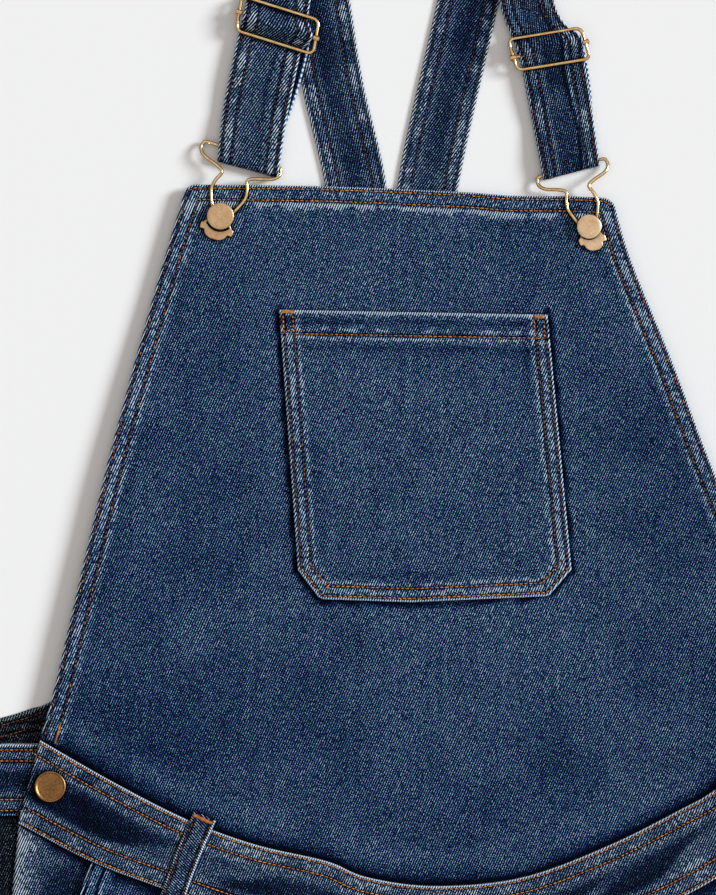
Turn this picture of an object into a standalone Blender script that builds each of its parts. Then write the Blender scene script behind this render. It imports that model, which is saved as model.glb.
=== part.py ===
"""Denim dungarees, laid flat on their back, front up, with the straps drawn up over the shoulders.

Sizes are millimetres until a point is placed. X runs to the viewer's right, Y towards the shoulders and Z up
from the surface that the garment lies on. x and y are measured from the lowest point of the waist seam, and
MID_Y moves the finished garment so that its bounding box is centred on the origin.
"""

import math

import bmesh
import bpy
import numpy as np
from mathutils import Matrix, Vector

MM = 0.001

# The garment's main sizes.
GAP = 0.3  # between pieces that are sewn together or lie on each other
SEAM = 0.4  # between the edges of two panels along a curved seam
SEAM_STEPS = 22  # points that the bib and the front waistband share along their seam
DENIM = 1.2  # one ply of cloth with its seams
BAND = 2.0  # a waistband, folded double
STRAP = 1.5  # a strap, folded double
SHOULDER_Y = 548.0  # where the straps fold over
HIP_X = 262.0  # half the width over the folded sides
CROTCH_Y = -185.0
HEM_Y = -895.0
MID_Y = (SHOULDER_Y + HEM_Y) / 2

# Rounded folds: the outer radius of a leg's side and of the back waistband's end.
SIDE_FOLD = 2.6
BAND_FOLD = 2.9
STRAP_FOLD = 2.0
SIDE_TOP = 2 * SIDE_FOLD
BAND_TOP = 2 * BAND_FOLD

# Heights of the front layer's underside over the floor.
FRONT_LOW = 3.2  # at the middle, on the back layer
FRONT_SEAM = SIDE_TOP - DENIM  # at the leg seams
BAND_END = BAND_TOP + GAP  # over the wrapped ends of the back waistband
MOUTH_RISE = 3.1  # how far the slant pocket's mouth stands over the bearer
BIB_TOP_RISE = 0.5  # the bib's upper half over the straps and the back panel
BIB_SIDE_RISE = 3.4  # how far the bib's loose sides curl up

# The seam where the bib meets the front waistband, left to right: x, y.
WAIST_SEAM = [
    (-213.6, 79.6),
    (-177.7, 58.9),
    (-135.7, 37.1),
    (-98.1, 22.9),
    (-58.0, 13.5),
    (-36.5, 4.9),
    (0.0, 0.0),
    (47.4, 4.4),
    (94.8, 21.8),
    (135.7, 42.5),
    (154.2, 53.4),
    (207.0, 92.0),
]
# The front waistband's lower edge, left to right: x, y.
BAND_FOOT = [
    (-225.6, 34.3),
    (-186.0, 13.6),
    (-149.2, -0.5),
    (-105.0, -16.5),
    (-58.0, -29.5),
    (0.0, -43.0),
    (58.0, -36.0),
    (117.0, -14.5),
    (159.0, 7.5),
    (219.0, 47.0),
]
# The bib's loose side edges, waist to top corner: x, y.
BIB_LEFT = [
    (-213.6, 79.6),
    (-205.5, 109.0),
    (-189.7, 177.1),
    (-174.9, 238.2),
    (-153.7, 315.6),
    (-134.1, 381.5),
]
BIB_RIGHT = [(207.0, 92.0), (154.2, 220.7), (129.7, 285.6), (107.4, 340.6), (97.6, 373.9)]
BIB_TOP = [(-134.1, 381.5), (-56.7, 380.4), (15.3, 378.0), (97.6, 373.9)]
# The bib pocket: its four edges, the lower one with its cut corners.
POCKET_LEFT = [(-73.6, 171.7), (-83.9, 313.4)]
POCKET_RIGHT = [(75.2, 172.2), (62.1, 310.7)]
POCKET_TOP = [(-83.9, 313.4), (62.1, 310.7)]
POCKET_FOOT = [(-73.6, 171.7), (-61.6, 155.9), (-12.0, 154.2), (62.7, 157.5), (75.2, 172.2)]
# The upper back: x, y. Its sides curve in from the waist to the narrow top that carries the straps.
BACK_LEFT = [(-256.0, 77.4), (-255.0, 85.0), (-210.0, 99.0), (-150.0, 135.0), (-95.0, 215.0), (-57.0, 355.0)]
BACK_RIGHT = [(256.0, 77.4), (255.0, 85.0), (205.0, 100.0), (132.0, 135.0), (60.0, 215.0), (15.0, 355.0)]
BACK_BAND = (38.0, 77.0)  # the back waistband's lower and upper edge, y
BACK_WRAP = 190.0  # the back waistband's wrapped ends reach in to this x

# The leg's silhouette, one row for each height: y, x of the outer fold, x of the inner fold.
LEG = [
    (38.0, 262.0, 0.0),
    (-20.0, 262.0, 0.0),
    (-100.0, 257.0, 0.0),
    (-185.0, 254.5, 0.0),
    (-260.0, 256.0, 11.0),
    (-400.0, 254.0, 24.0),
    (-525.0, 250.0, 34.0),
    (-720.0, 247.5, 45.0),
    (-895.0, 247.0, 52.0),
]
# The heights of the points that the two layers of a leg and the side placket share.
LEG_ROWS = [*np.linspace(HEM_Y, CROTCH_Y - 32, 14), -207.0, -197.0, -187.0, -165.0]
HIP_ROWS = [-138.0, -110.0, -80.0, -50.0, -20.0, 10.0, 38.0 - GAP]
# The slant pocket's mouth and the front's loose side edge, top to bottom: y, x of each.
POCKET_MOUTH = [(13.6, 186.0), (-60.0, 212.5), (-130.0, 241.0)]
SIDE_OPENING = [(34.3, 225.6), (-5.0, 229.0), (-80.0, 238.0), (-145.0, 248.5)]
BEARER_FOOT = -120.0  # the lower end of the pocket bearer, y
BEARER_UNDER = 10.0  # how far the bearer reaches under the mouth
PLACKET_UNDER = (14.0, 5.0)  # how far the placket reaches under the side edge, top and bottom

# The largest folds of the front legs: start x, y, end x, y, half width, height. The other leg mirrors them.
CREASES = [
    (70, -150, 205, -205, 16, 1.8),
    (30, -205, 120, -265, 13, 1.6),
    (200, -250, 110, -300, 15, 1.4),
    (60, -430, 170, -470, 17, 1.5),
    (230, -520, 130, -545, 15, 1.7),
    (70, -600, 190, -575, 14, 1.3),
    (215, -690, 120, -725, 16, 1.4),
    (75, -800, 200, -835, 15, 1.5),
]

# One row for each side. The strap's front stretch runs through FRONT points from the shoulder to the hook,
# its back stretch through BACK points down to the back panel. ANGLES turn its width: share of the way,
# degrees. SPREAD narrows the hook that is seen a little from the side.
SIDES = {
    "left": {
        "sign": -1,
        "shoulder": (-72.5, SHOULDER_Y),
        "front": [(-84.5, 482.3), (-98.0, 416.9), (-102.7, 390.8)],
        "angles": [(0, 0), (0.3, -12), (0.46, -16), (0.56, -16), (0.8, -12), (1, -15)],
        "back": [(-62.0, 482.3), (-54.5, 435.0), (-42.0, 380.4), (-41.0, 336.0)],
        "slider": 81.0,
        "hook": (-115.6, 364.1),
        "button": (-115.6, 364.0),
        "lean": -19.5,
        "plate_lean": -17.0,
        "spread": 1.0,
        "waist_button": (-207.9, 54.4),
        "loop": [(-124.0, 38.4), (-133.4, 16.9), (-142.9, -9.1)],
    },
    "right": {
        "sign": 1,
        "shoulder": (33.5, SHOULDER_Y),
        "front": [(52.0, 482.3), (63.0, 455.1), (70.4, 418.0), (75.5, 388.1)],
        "angles": [(0, 0), (0.3, 10), (0.5, 11), (0.64, 11), (0.85, 14.5), (1, 13)],
        "back": [(19.3, 482.3), (-3.0, 380.4), (-4.5, 336.0)],
        "slider": 95.0,
        "hook": (84.4, 358.1),
        "button": (84.6, 358.3),
        "lean": 14.0,
        "plate_lean": 12.0,
        "spread": 0.92,
        "waist_button": (202.0, 66.0),
        "loop": [(160.0, 60.0), (170.0, 38.0), (180.0, 12.0)],
    },
}
STRAP_WIDTH = 34.5
STRAP_CROSSING = STRAP + GAP + 0.1  # how far one stretch is lifted where it crosses the other
FOLD_START = 3.4  # the strap's two stretches meet this far down from the shoulder
BACK_STRAP_WIDTH = 33.0
BACK_STRAP_LEAN = 11.0  # how far the back stretch is turned towards the middle, in degrees
HOOK_TURN = 2.2  # the radius of the strap's middle round the hook's bar
BAR_BUMP = 4.0  # how far the strap rises over the slider's bar
LOOP_WIDTH = 13.0

# Brass fittings.
WIRE = 1.9
SLIDER_SIZE = (43.5, 18.2)
SLIDER_Z = 4.55  # the height of its wire over two plies of strap
SLIDER_RADIUS = 3.2
HOOK_BAR_UP = 36.0  # from the button's middle to the hook's bar
HOOK_BAR_Z = 3.0  # the height of that bar
BUTTON_RADIUS = 7.2
WAIST_BUTTON_RADIUS = 8.4
# Half of the hook's wire, from its foot up to the middle of its bar: across, up.
HOOK_WIRE = [
    (5.0, -7.0),
    (5.4, -3.0),
    (5.6, 3.0),
    (7.6, 7.2),
    (9.6, 13.0),
    (9.0, 18.0),
    (7.3, 23.0),
    (11.5, 25.6),
    (19.0, 28.0),
    (22.4, 31.0),
    (22.4, 34.2),
    (19.4, HOOK_BAR_UP),
    (0.0, HOOK_BAR_UP),
]
# Half of the hook's plate: across, up.
HOOK_PLATE = [
    (0.0, -13.2),
    (3.2, -12.8),
    (5.8, -11.0),
    (6.6, -9.2),
    (8.9, -9.0),
    (9.2, -6.0),
    (7.8, -5.0),
    (5.6, -2.4),
    (3.0, -3.1),
    (0.0, -3.4),
]

INDIGO = (0.045, 0.075, 0.15, 1)
INDIGO_DARK = (0.02, 0.03, 0.06, 1)
BRASS = (0.45, 0.30, 0.14, 1)


# ---- Paths, panels and heights ----


def path_through(points, soft=True):
    """A path through a few points, read by its share of length from 0 to 1; a soft one is rounded."""
    points = np.array(points, float)
    if soft and len(points) > 2:
        ends = [2 * points[0] - points[1], *points, 2 * points[-1] - points[-2]]
        fine = []
        for a, b, c, d in zip(ends, ends[1:], ends[2:], ends[3:]):
            for t in np.arange(0, 1, 0.1):
                bend = (2 * a - 5 * b + 4 * c - d) * t**2 + (3 * b - a - 3 * c + d) * t**3
                fine.append(b + 0.5 * ((c - a) * t + bend))
        points = np.array([*fine, points[-1]])
    along = np.concatenate([[0], np.cumsum(np.linalg.norm(np.diff(points, axis=0), axis=1))])
    return lambda t: np.array([np.interp(t * along[-1], along, column) for column in points.T])


def length_of(path):
    """The length of a path, summed over short steps."""
    points = np.array([path(t) for t in np.linspace(0, 1, 101)])
    return float(np.linalg.norm(np.diff(points, axis=0), axis=1).sum())


def y_on(points, x):
    """The height of an edge that runs left to right, at x."""
    path = path_through(points)
    edge = np.array([path(t) for t in np.linspace(0, 1, 101)])
    return float(np.interp(x, edge[:, 0], edge[:, 1]))


def read_table(rows, y, column):
    """A column of a table whose rows start with y, eased between the rows."""
    rows = sorted(rows)
    heights = [row[0] for row in rows]
    k = int(np.clip(np.searchsorted(heights, y) - 1, 0, len(rows) - 2))
    t = smooth((y - heights[k]) / (heights[k + 1] - heights[k]), soft=0.4)
    return rows[k][column] + t * (rows[k + 1][column] - rows[k][column])


def smooth(t, soft=1.0):
    """An ease from 0 to 1; soft 0 is a straight ramp."""
    t = min(1.0, max(0.0, t))
    return (1 - soft) * t + soft * t * t * (3 - 2 * t)


def patch(foot, top, left, right):
    """Fills four edge paths with a surface of (x, y) points over u across and v up (a Coons patch)."""
    corners = foot(0), foot(1), top(0), top(1)

    def point(u, v):
        edges = (1 - v) * foot(u) + v * top(u) + (1 - u) * left(v) + u * right(v)
        a, b, c, d = corners
        return edges - (1 - u) * (1 - v) * a - u * (1 - v) * b - (1 - u) * v * c - u * v * d

    return point


def crease_height(x, y):
    """The height that the front legs' folds add at a place."""
    total = 0.0
    for x0, y0, x1, y1, width, height in CREASES:
        run = Vector((x1 - x0, y1 - y0))
        place = Vector((abs(x) - x0, y - y0))
        share = place.dot(run) / run.length_squared
        aside = abs(place.cross(run)) / run.length
        fade = smooth(share / 0.3) * smooth((1 - share) / 0.5)
        total += height * fade * math.exp(-((aside / width) ** 2))
    return total


def band_height(x):
    """The underside of the front waistband and of what is sewn to it."""
    return FRONT_LOW + (BAND_END - FRONT_LOW) * smooth((abs(x) - 95) / 85)


def bib_height(x, y):
    """The underside of the bib: low at the middle, with its loose sides curled up."""
    left = read_table([(q, p) for p, q in BIB_LEFT], y, 1)
    right = read_table([(q, p) for p, q in BIB_RIGHT], y, 1)
    across = abs(2 * (x - left) / (right - left) - 1)
    seam = smooth(1 - (y - y_on(WAIST_SEAM, x)) / 70)
    upper = smooth((y - 150) / 120)
    curl = BIB_SIDE_RISE * smooth((across - 0.45) / 0.55) * (1 - 0.85 * smooth((y - 120) / 230))
    loose = FRONT_LOW + BIB_TOP_RISE * upper + curl
    return seam * (band_height(x) + 0.1) + (1 - seam) * loose


def leg_height(x, y, u):
    """The underside of a front leg, where u runs from its outer to its inner edge."""
    edge = abs(2 * u - 1) ** 6
    over_bearer = smooth((y - LEG_ROWS[-1] + 5) / 36)
    aside = abs(x) - read_table(POCKET_MOUTH, max(y, POCKET_MOUTH[-1][0]), 1)
    mouth = MOUTH_RISE * over_bearer * math.exp(-((aside / 18) ** 2))
    outer = edge * (FRONT_SEAM - FRONT_LOW)
    fold = crease_height(x, y) * (1 - edge)
    return FRONT_LOW + outer + mouth + fold


# ---- Making objects ----


def material(name, colour, roughness, metallic=0.0):
    """One plain finish."""
    made = bpy.data.materials.new(name)
    made.use_nodes = True
    shader = made.node_tree.nodes["Principled BSDF"]
    shader.inputs["Base Color"].default_value = colour
    shader.inputs["Roughness"].default_value = roughness
    shader.inputs["Metallic"].default_value = metallic
    return made


def placed(x, y, z):
    """A point of the garment in metres, in its own frame."""
    return Vector((x * MM, (y - MID_Y) * MM, z * MM))


def add(obj, finish):
    """Puts an object with its material in the garment's collection."""
    obj.data.materials.clear()
    obj.data.materials.append(finish)
    if obj.name not in GARMENT.objects:
        GARMENT.objects.link(obj)
    return obj


def cloth(name, size, point, thick, finish, side=1):
    """A cloth piece: a grid of size (across, along) whose points come from point(u, v), given its thickness.

    side 1 grows the cloth along the grid's upward normal, and 0 to both sides alike.
    """
    mesh = bpy.data.meshes.new(name)
    grid = bmesh.new()
    bmesh.ops.create_grid(grid, x_segments=size[0], y_segments=size[1], size=0.5)
    for vertex in grid.verts:
        u, v = round(vertex.co.x + 0.5, 6), round(vertex.co.y + 0.5, 6)
        vertex.co = placed(*point(u, v))
    grid.to_mesh(mesh)
    grid.free()
    obj = bpy.data.objects.new(name, mesh)
    solid = obj.modifiers.new("cloth thickness", "SOLIDIFY")
    solid.thickness = thick * MM
    solid.offset = side
    solid.use_even_offset = True
    return add(obj, finish)


def wire(name, points, radius, closed=False, sides=2):
    """A bent wire as a mesh, through points in metres."""
    curve = bpy.data.curves.new(name, "CURVE")
    curve.dimensions = "3D"
    curve.bevel_depth = radius * MM
    curve.bevel_resolution = sides
    curve.use_fill_caps = True
    spline = curve.splines.new("POLY")
    spline.points.add(len(points) - 1)
    for spline_point, point in zip(spline.points, points):
        spline_point.co = (*point, 1)
    spline.use_cyclic_u = closed
    return meshed(name, curve)


def plate(name, outline, thick):
    """A flat plate as a mesh, from its outline in metres round its own middle."""
    curve = bpy.data.curves.new(name, "CURVE")
    curve.dimensions = "2D"
    curve.fill_mode = "BOTH"
    curve.extrude = thick * MM / 2
    spline = curve.splines.new("POLY")
    spline.points.add(len(outline) - 1)
    for spline_point, point in zip(spline.points, outline):
        spline_point.co = (*point, 0, 1)
    spline.use_cyclic_u = True
    return meshed(name, curve)


def meshed(name, curve):
    """A curve's evaluated shape as a mesh object with its caps welded."""
    source = bpy.data.objects.new(name + "_curve", curve)
    bpy.context.scene.collection.objects.link(source)
    bpy.context.view_layer.update()
    mesh = bpy.data.meshes.new_from_object(source.evaluated_get(bpy.context.evaluated_depsgraph_get()))
    bpy.data.objects.remove(source)
    weld = bmesh.new()
    weld.from_mesh(mesh)
    bmesh.ops.remove_doubles(weld, verts=weld.verts, dist=1e-6)
    weld.to_mesh(mesh)
    weld.free()
    mesh.name = name
    return bpy.data.objects.new(name, mesh)


def joined(base, others):
    """Unites a piece with others by Boolean, and keeps the others as hidden guides."""
    for other in others:
        other.hide_render = True
        other.display_type = "WIRE"
        GUIDES.objects.link(other)
        union = base.modifiers.new("union with " + other.name, "BOOLEAN")
        union.operation = "UNION"
        union.object = other
    return base


def turned(name, profile, centre, finish, steps=16):
    """A turned piece: a profile of (radius, height) pairs, from the top of its axis down its outer side."""
    mesh = bpy.data.meshes.new(name)
    lathe = bmesh.new()
    points = [lathe.verts.new((radius * MM, 0, height * MM)) for radius, height in profile]
    for a, b in zip(points, points[1:]):
        lathe.edges.new((a, b))
    lathe.to_mesh(mesh)
    lathe.free()
    obj = bpy.data.objects.new(name, mesh)
    screw = obj.modifiers.new("turn", "SCREW")
    screw.steps = steps
    screw.render_steps = steps
    screw.use_merge_vertices = True
    screw.merge_threshold = 0.00001
    obj.location = placed(*centre)
    return add(obj, finish)


# ---- The sewn pieces ----


def make_bib(denim):
    """The bib, from the waist seam to its top edge."""
    lift = np.array([0, SEAM])
    foot = path_through(np.array(WAIST_SEAM) + lift)
    left, right = path_through(BIB_LEFT), path_through(BIB_RIGHT)
    surface = patch(
        foot,
        path_through(BIB_TOP),
        lambda t: left(t) + (1 - t) * lift,
        lambda t: right(t) + (1 - t) * lift,
    )

    def point(u, v):
        x, y = surface(u, v)
        return x, y, bib_height(x, y)

    cloth("bib_front", (SEAM_STEPS, 14), point, DENIM, denim)


def make_bib_pocket(denim):
    """The patch pocket, lying on the bib."""
    surface = patch(
        path_through(POCKET_FOOT, soft=False),
        path_through(POCKET_TOP),
        path_through(POCKET_LEFT),
        path_through(POCKET_RIGHT),
    )

    def point(u, v):
        x, y = surface(u, v)
        return x, y, bib_height(x, y) + DENIM + GAP

    cloth("bib_pocket", (12, 10), point, DENIM, denim)


def make_waistbands(denim):
    """The front waistband, and the back one that wraps round both sides and under the front's ends."""
    top, foot = path_through(WAIST_SEAM), path_through(BAND_FOOT)

    def front(u, v):
        x, y = (1 - v) * foot(u) + v * top(u)
        return x, y, band_height(x)

    cloth("waistband_front", (SEAM_STEPS, 3), front, BAND, denim)

    steps = 6
    bend = [math.pi * k / steps for k in range(steps + 1)]
    centre = HIP_X - BAND_FOLD
    right = [(centre + BAND_FOLD * math.sin(a), BAND_FOLD * (1 - math.cos(a))) for a in bend]
    across = [(0.0, 0.0), *right, (BACK_WRAP, BAND_TOP)]
    section = [(-x, z) for x, z in reversed(across)] + across[1:]

    def back(u, v):
        x, z = section[round(u * (len(section) - 1))]
        return x, BACK_BAND[0] + v * (BACK_BAND[1] - BACK_BAND[0]), z

    cloth("waistband_back", (len(section) - 1, 1), back, BAND, denim)


def make_back_panel(denim):
    """The upper back, flat on the floor."""
    surface = patch(
        path_through([BACK_LEFT[0], BACK_RIGHT[0]]),
        path_through([BACK_LEFT[-1], BACK_RIGHT[-1]]),
        path_through(BACK_LEFT),
        path_through(BACK_RIGHT),
    )
    cloth("back_panel", (6, 12), lambda u, v: (*surface(u, v), 0.0), DENIM, denim)


def make_front_leg(side, sign, denim):
    """A front leg with its hip: rows run across it up to the seat, and a patch fills the hip above them.

    The slant pocket's mouth is cut away from the hip.
    """
    mouth_x, middle_x = POCKET_MOUTH[0][1], GAP / 2
    crotch = [(CROTCH_Y - 32, 8.3), (CROTCH_Y - 12, 4.8), (CROTCH_Y + 20, middle_x), (38.0, middle_x)]

    def edges(y):
        inner = read_table(LEG, y, 2) + SIDE_FOLD + SEAM + GAP if y < crotch[0][0] - 1 else 0
        return read_table(LEG, y, 1) - SIDE_FOLD - SEAM, inner or read_table(crotch, y, 1)

    last = LEG_ROWS[-1]
    outer, inner = edges(last)
    corner = (mouth_x, y_on(BAND_FOOT, sign * mouth_x) - 1.5 * SEAM)
    top_x = np.linspace(mouth_x, middle_x, 12)
    hip = patch(
        path_through([(outer, last), (inner, last)]),
        path_through([(x, y_on(BAND_FOOT, sign * x) - 1.5 * SEAM) for x in top_x], soft=False),
        path_through([(outer, last), *[(x, y) for y, x in POCKET_MOUTH[:0:-1]], corner]),
        path_through([(inner, last), (middle_x, -140.0), (middle_x, -43.5)]),
    )
    hip_steps = 9
    steps = len(LEG_ROWS) - 1 + hip_steps

    def point(u, v):
        across, row = u if sign < 0 else 1 - u, round(v * steps)
        if row < len(LEG_ROWS):
            outer_x, inner_x = edges(LEG_ROWS[row])
            x, y = outer_x + across * (inner_x - outer_x), LEG_ROWS[row]
        else:
            x, y = hip(across, (row - len(LEG_ROWS) + 1) / hip_steps)
        return sign * max(x, middle_x), y, leg_height(x, y, across)

    cloth("leg_front_" + side, (10, steps), point, DENIM, denim)


def make_back_leg(side, sign, denim):
    """A back leg with its seat, flat on the floor, its edges curled up to the side and inner leg seams."""
    bends = 5
    arc = math.pi * SIDE_FOLD
    rows = LEG_ROWS + HIP_ROWS

    def curled(length, bend):
        """Where a strip of that length ends when its whole arc is bent by bend half turns: across, and up."""
        if bend < 0.01:
            return length, 0.0
        radius = arc / (math.pi * bend)
        return radius * math.sin(length / radius), radius * (1 - math.cos(length / radius))

    def reach(bend):
        """How far across the furthest point of a bent strip lies."""
        return curled(arc * min(1.0, 0.5 / max(bend, 0.01)), bend)[0]

    def point(u, v):
        y = rows[round(v * (len(rows) - 1))]
        column = round((u if sign < 0 else 1 - u) * (2 * bends + 3))
        closing = smooth((CROTCH_Y - y) / 30)
        outer = read_table(LEG, y, 1) - reach(1.0)
        inner = read_table(LEG, y, 2) + GAP / 2 + reach(closing)
        if column <= bends:
            across, z = curled(arc * (1 - column / bends), 1.0)
            x = outer + across
        elif column >= bends + 3:
            across, z = curled(arc * (column - bends - 3) / bends, closing)
            x = inner - across
        else:
            x, z = outer + (inner - outer) * (column - bends) / 3, 0.0
        return sign * x, y, z

    cloth("leg_back_" + side, (2 * bends + 3, len(rows) - 1), point, DENIM, denim)


def make_hip_pieces(side, sign, denim, inside):
    """The pocket bearer beside the slant mouth, and the placket under the side opening's edge."""

    def bearer(u, v):
        across = u if sign < 0 else 1 - u
        top_y = SIDE_OPENING[0][0]
        level = BEARER_FOOT + v * (top_y - BEARER_FOOT)
        inner_x = read_table(POCKET_MOUTH, level, 1) - BEARER_UNDER
        x = read_table(SIDE_OPENING, level, 1) * (1 - across) + inner_x * across
        y = level + (y_on(BAND_FOOT, sign * x) - 1.5 * SEAM - top_y) * v**4
        over_band = (BAND_TOP - SIDE_TOP) * smooth((y - 29) / 7)
        return sign * x, y, SIDE_TOP + GAP + over_band - 2.2 * smooth((across - 0.33) / 0.67)

    cloth("pocket_bearer_" + side, (7, 10), bearer, DENIM, denim)

    def placket(u, v):
        across, y = u if sign < 0 else 1 - u, HIP_ROWS[round(v * (len(HIP_ROWS) - 1))]
        outer = read_table(LEG, y, 1) - SIDE_FOLD - SEAM
        under = PLACKET_UNDER[1] + v * (PLACKET_UNDER[0] - PLACKET_UNDER[1])
        inner = read_table(SIDE_OPENING, y, 1) - under
        return sign * (outer + across * (inner - outer)), y, SIDE_TOP - DENIM

    cloth("side_placket_" + side, (3, len(HIP_ROWS) - 1), placket, DENIM, inside)


def make_belt_loop(side, row, denim):
    """A belt loop over the front waistband."""
    path = path_through(row["loop"])

    def point(u, v):
        x, y = path(1 - v)
        ahead = path(min(1 - v + 0.02, 1.0)) - path(max(1 - v - 0.02, 0.0))
        along = Vector(ahead).normalized()
        aside = (u - 0.5) * LOOP_WIDTH
        bow = 0.5 * math.sin(math.pi * v)
        top = band_height(x) + BAND + GAP
        return x - along.y * aside, y + along.x * aside, top + bow

    cloth("belt_loop_" + side, (2, 8), point, DENIM, denim)


# ---- The straps ----


def strap_axes(row):
    """The middle lines of a strap's front and back stretch, each from the shoulder down."""
    return path_through([row["shoulder"], *row["front"]]), path_through([row["shoulder"], *row["back"]])


def strap_point(axis, angle, share, aside):
    """A place on a strap: share of the way along its middle line, and aside of it, by an angle in degrees."""
    x, y = axis(share)
    turn = math.radians(angle)
    return x + aside * math.cos(turn), y + aside * math.sin(turn)


def strap_rise(distance):
    """How far the front stretch is held up where it crosses over the back one."""
    return STRAP_CROSSING * smooth((distance - 25) / 30) * smooth((150 - distance) / 38)


def front_strap_track(row, length):
    """Where the front stretch's ply runs: (distance from the shoulder, height) of its middle.

    It turns over at the shoulder, lies on the back stretch, passes under the slider's ends and over its
    middle bar, turns up round the hook's bar and comes back beneath itself to the slider.
    """
    low, high = STRAP / 2, STRAP * 1.5 + GAP
    half_turn = np.linspace(0, math.pi, 7)
    fold = [(low + STRAP_FOLD * (1 - math.sin(a)), low + STRAP_FOLD * (1 - math.cos(a))) for a in half_turn]
    after_fold = [(9.0, 3.9), (16.0, 2.9), (25.0, high), (40.0, high), (55.0, high)]
    middle = row["slider"]
    bump = [(t, BAR_BUMP / 2 * (1 + math.cos(math.pi * t))) for t in np.linspace(-1, 1, 11)]
    over_bar = [(middle + 8.0 * t, high + rise) for t, rise in bump]
    over_bar = [(middle - 11.0, high), *over_bar, (middle + 11.0, high)]
    turn = HOOK_TURN
    centre = length - turn - STRAP / 2
    to_hook = [(middle + 22, high), (middle + 34, high), (centre - 28, high + 0.2), (centre - 18, 4.1)]
    opened = [(centre - 9, low + 2 * turn)]
    loop = [(centre + turn * math.sin(a), low + turn * (1 + math.cos(a))) for a in half_turn]
    back = [(centre - 8, low), (centre - 24, low), (middle + 30, low), (middle + 16, low)]
    end = [(middle + 9, 1.0), (middle + 4, 1.7), (middle, 2.2)]
    track = [(FOLD_START, low)] + fold + after_fold + over_bar + to_hook + opened + loop + back + end
    return [(distance, z + strap_rise(distance)) for distance, z in track]


def make_straps(side, row, denim):
    """Both stretches of one strap."""
    front_axis, back_axis = strap_axes(row)
    length = length_of(front_axis)
    track = front_strap_track(row, length)
    shares, angles = zip(*row["angles"])

    def front(u, v):
        distance, z = track[round((1 - v) * (len(track) - 1))]
        share = distance / length
        aside = (u - 0.5) * STRAP_WIDTH
        return *strap_point(front_axis, float(np.interp(share, shares, angles)), share, aside), z

    cloth("strap_front_" + side, (2, len(track) - 1), front, STRAP, denim, side=0)

    back_length = length_of(back_axis)
    start = FOLD_START + SEAM
    lean = -BACK_STRAP_LEAN * row["sign"]
    panel_top = BACK_LEFT[-1][1]

    def back(u, v):
        distance = start + (1 - v) * (back_length - start)
        share = distance / back_length
        angle = lean * smooth(distance / 40)
        x, y = strap_point(back_axis, angle, share, (u - 0.5) * BACK_STRAP_WIDTH)
        middle_y = float(back_axis(share)[1])
        return x, y, (DENIM + GAP) * smooth((panel_top + 18 - middle_y) / 10)

    cloth("strap_back_" + side, (2, 20), back, STRAP, denim)


# ---- Brass fittings ----


def in_place(shape, centre, degrees):
    """Turns a mesh object's points by an angle, then moves them to a place of the garment."""
    turn = Matrix.Rotation(math.radians(degrees), 4, "Z")
    shape.data.transform(Matrix.Translation(placed(*centre)) @ turn)
    return shape


def make_slider(side, row, brass):
    """A wire frame with a centre bar that the strap passes over."""
    front_axis, _ = strap_axes(row)
    share = row["slider"] / length_of(front_axis)
    shares, angles = zip(*row["angles"])
    angle = float(np.interp(share, shares, angles))
    x, y = front_axis(share)
    half_x, half_y = SLIDER_SIZE[0] / 2 - WIRE / 2, SLIDER_SIZE[1] / 2 - WIRE / 2
    frame = []
    for corner in range(4):
        sx, sy = (1, 1, -1, -1)[corner], (1, -1, -1, 1)[corner]
        for k in range(4):
            a = math.pi / 2 * (1 - corner) - math.pi / 6 * k
            cx, cy = sx * (half_x - SLIDER_RADIUS), sy * (half_y - SLIDER_RADIUS)
            frame.append((cx + SLIDER_RADIUS * math.cos(a), cy + SLIDER_RADIUS * math.sin(a)))
    ring = wire("slider_" + side, [Vector((p * MM, q * MM, 0)) for p, q in frame], WIRE / 2, closed=True)
    bar = wire(
        f"slider_{side}_bar", [Vector((s * half_x * MM, 0, 0)) for s in (-1, 1)], WIRE / 2 - 0.05
    )
    knobs = [
        wire(
            f"slider_{side}_knob_{k}",
            [Vector((s * half_x * MM, d * MM, 0)) for d in (-1.2, 1.2)],
            WIRE / 2 + 0.45,
        )
        for k, s in enumerate((-1, 1))
    ]
    for shape in (ring, bar, *knobs):
        in_place(shape, (x, y, SLIDER_Z + STRAP_CROSSING), angle)
    add(joined(ring, [bar, *knobs]), brass)


def hook_wire_height(up):
    """The hook's wire: low in the strap's end, and up over the bib's top edge."""
    over_bib = FRONT_LOW + BIB_TOP_RISE + DENIM + GAP + WIRE / 2 + 0.25
    return HOOK_BAR_Z + (over_bib - HOOK_BAR_Z) * smooth((34.5 - up) / 12)


def make_hook(side, row, brass):
    """The bent wire and the stamped plate that grips its feet."""
    half = path_through(HOOK_WIRE)
    share = [half(t) for t in np.linspace(0, 1, 22)]
    outline = [(-x, y) for x, y in share] + [(x, y) for x, y in share[-2::-1]]
    lean, plate_lean = row["lean"], row["plate_lean"]
    hook_x, hook_y = row["hook"]
    points = []
    for wide, up in outline:
        x = wide * row["spread"]
        turn = math.radians(plate_lean + (lean - plate_lean) * smooth((up + 8) / 30))
        px, py = x * math.cos(turn) - up * math.sin(turn), x * math.sin(turn) + up * math.cos(turn)
        points.append(placed(hook_x + px, hook_y + py, hook_wire_height(up)))
    hook = wire("hook_" + side, points, WIRE / 2, sides=1)
    half_plate = [(x * row["spread"] * MM, y * MM) for x, y in HOOK_PLATE]
    plate_edge = half_plate + [(-x, y) for x, y in half_plate[-2:0:-1]]
    stamped = plate(f"hook_{side}_plate", plate_edge, 1.3)
    in_place(stamped, (hook_x, hook_y, hook_wire_height(0)), plate_lean)
    add(joined(hook, [stamped]), brass)


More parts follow.
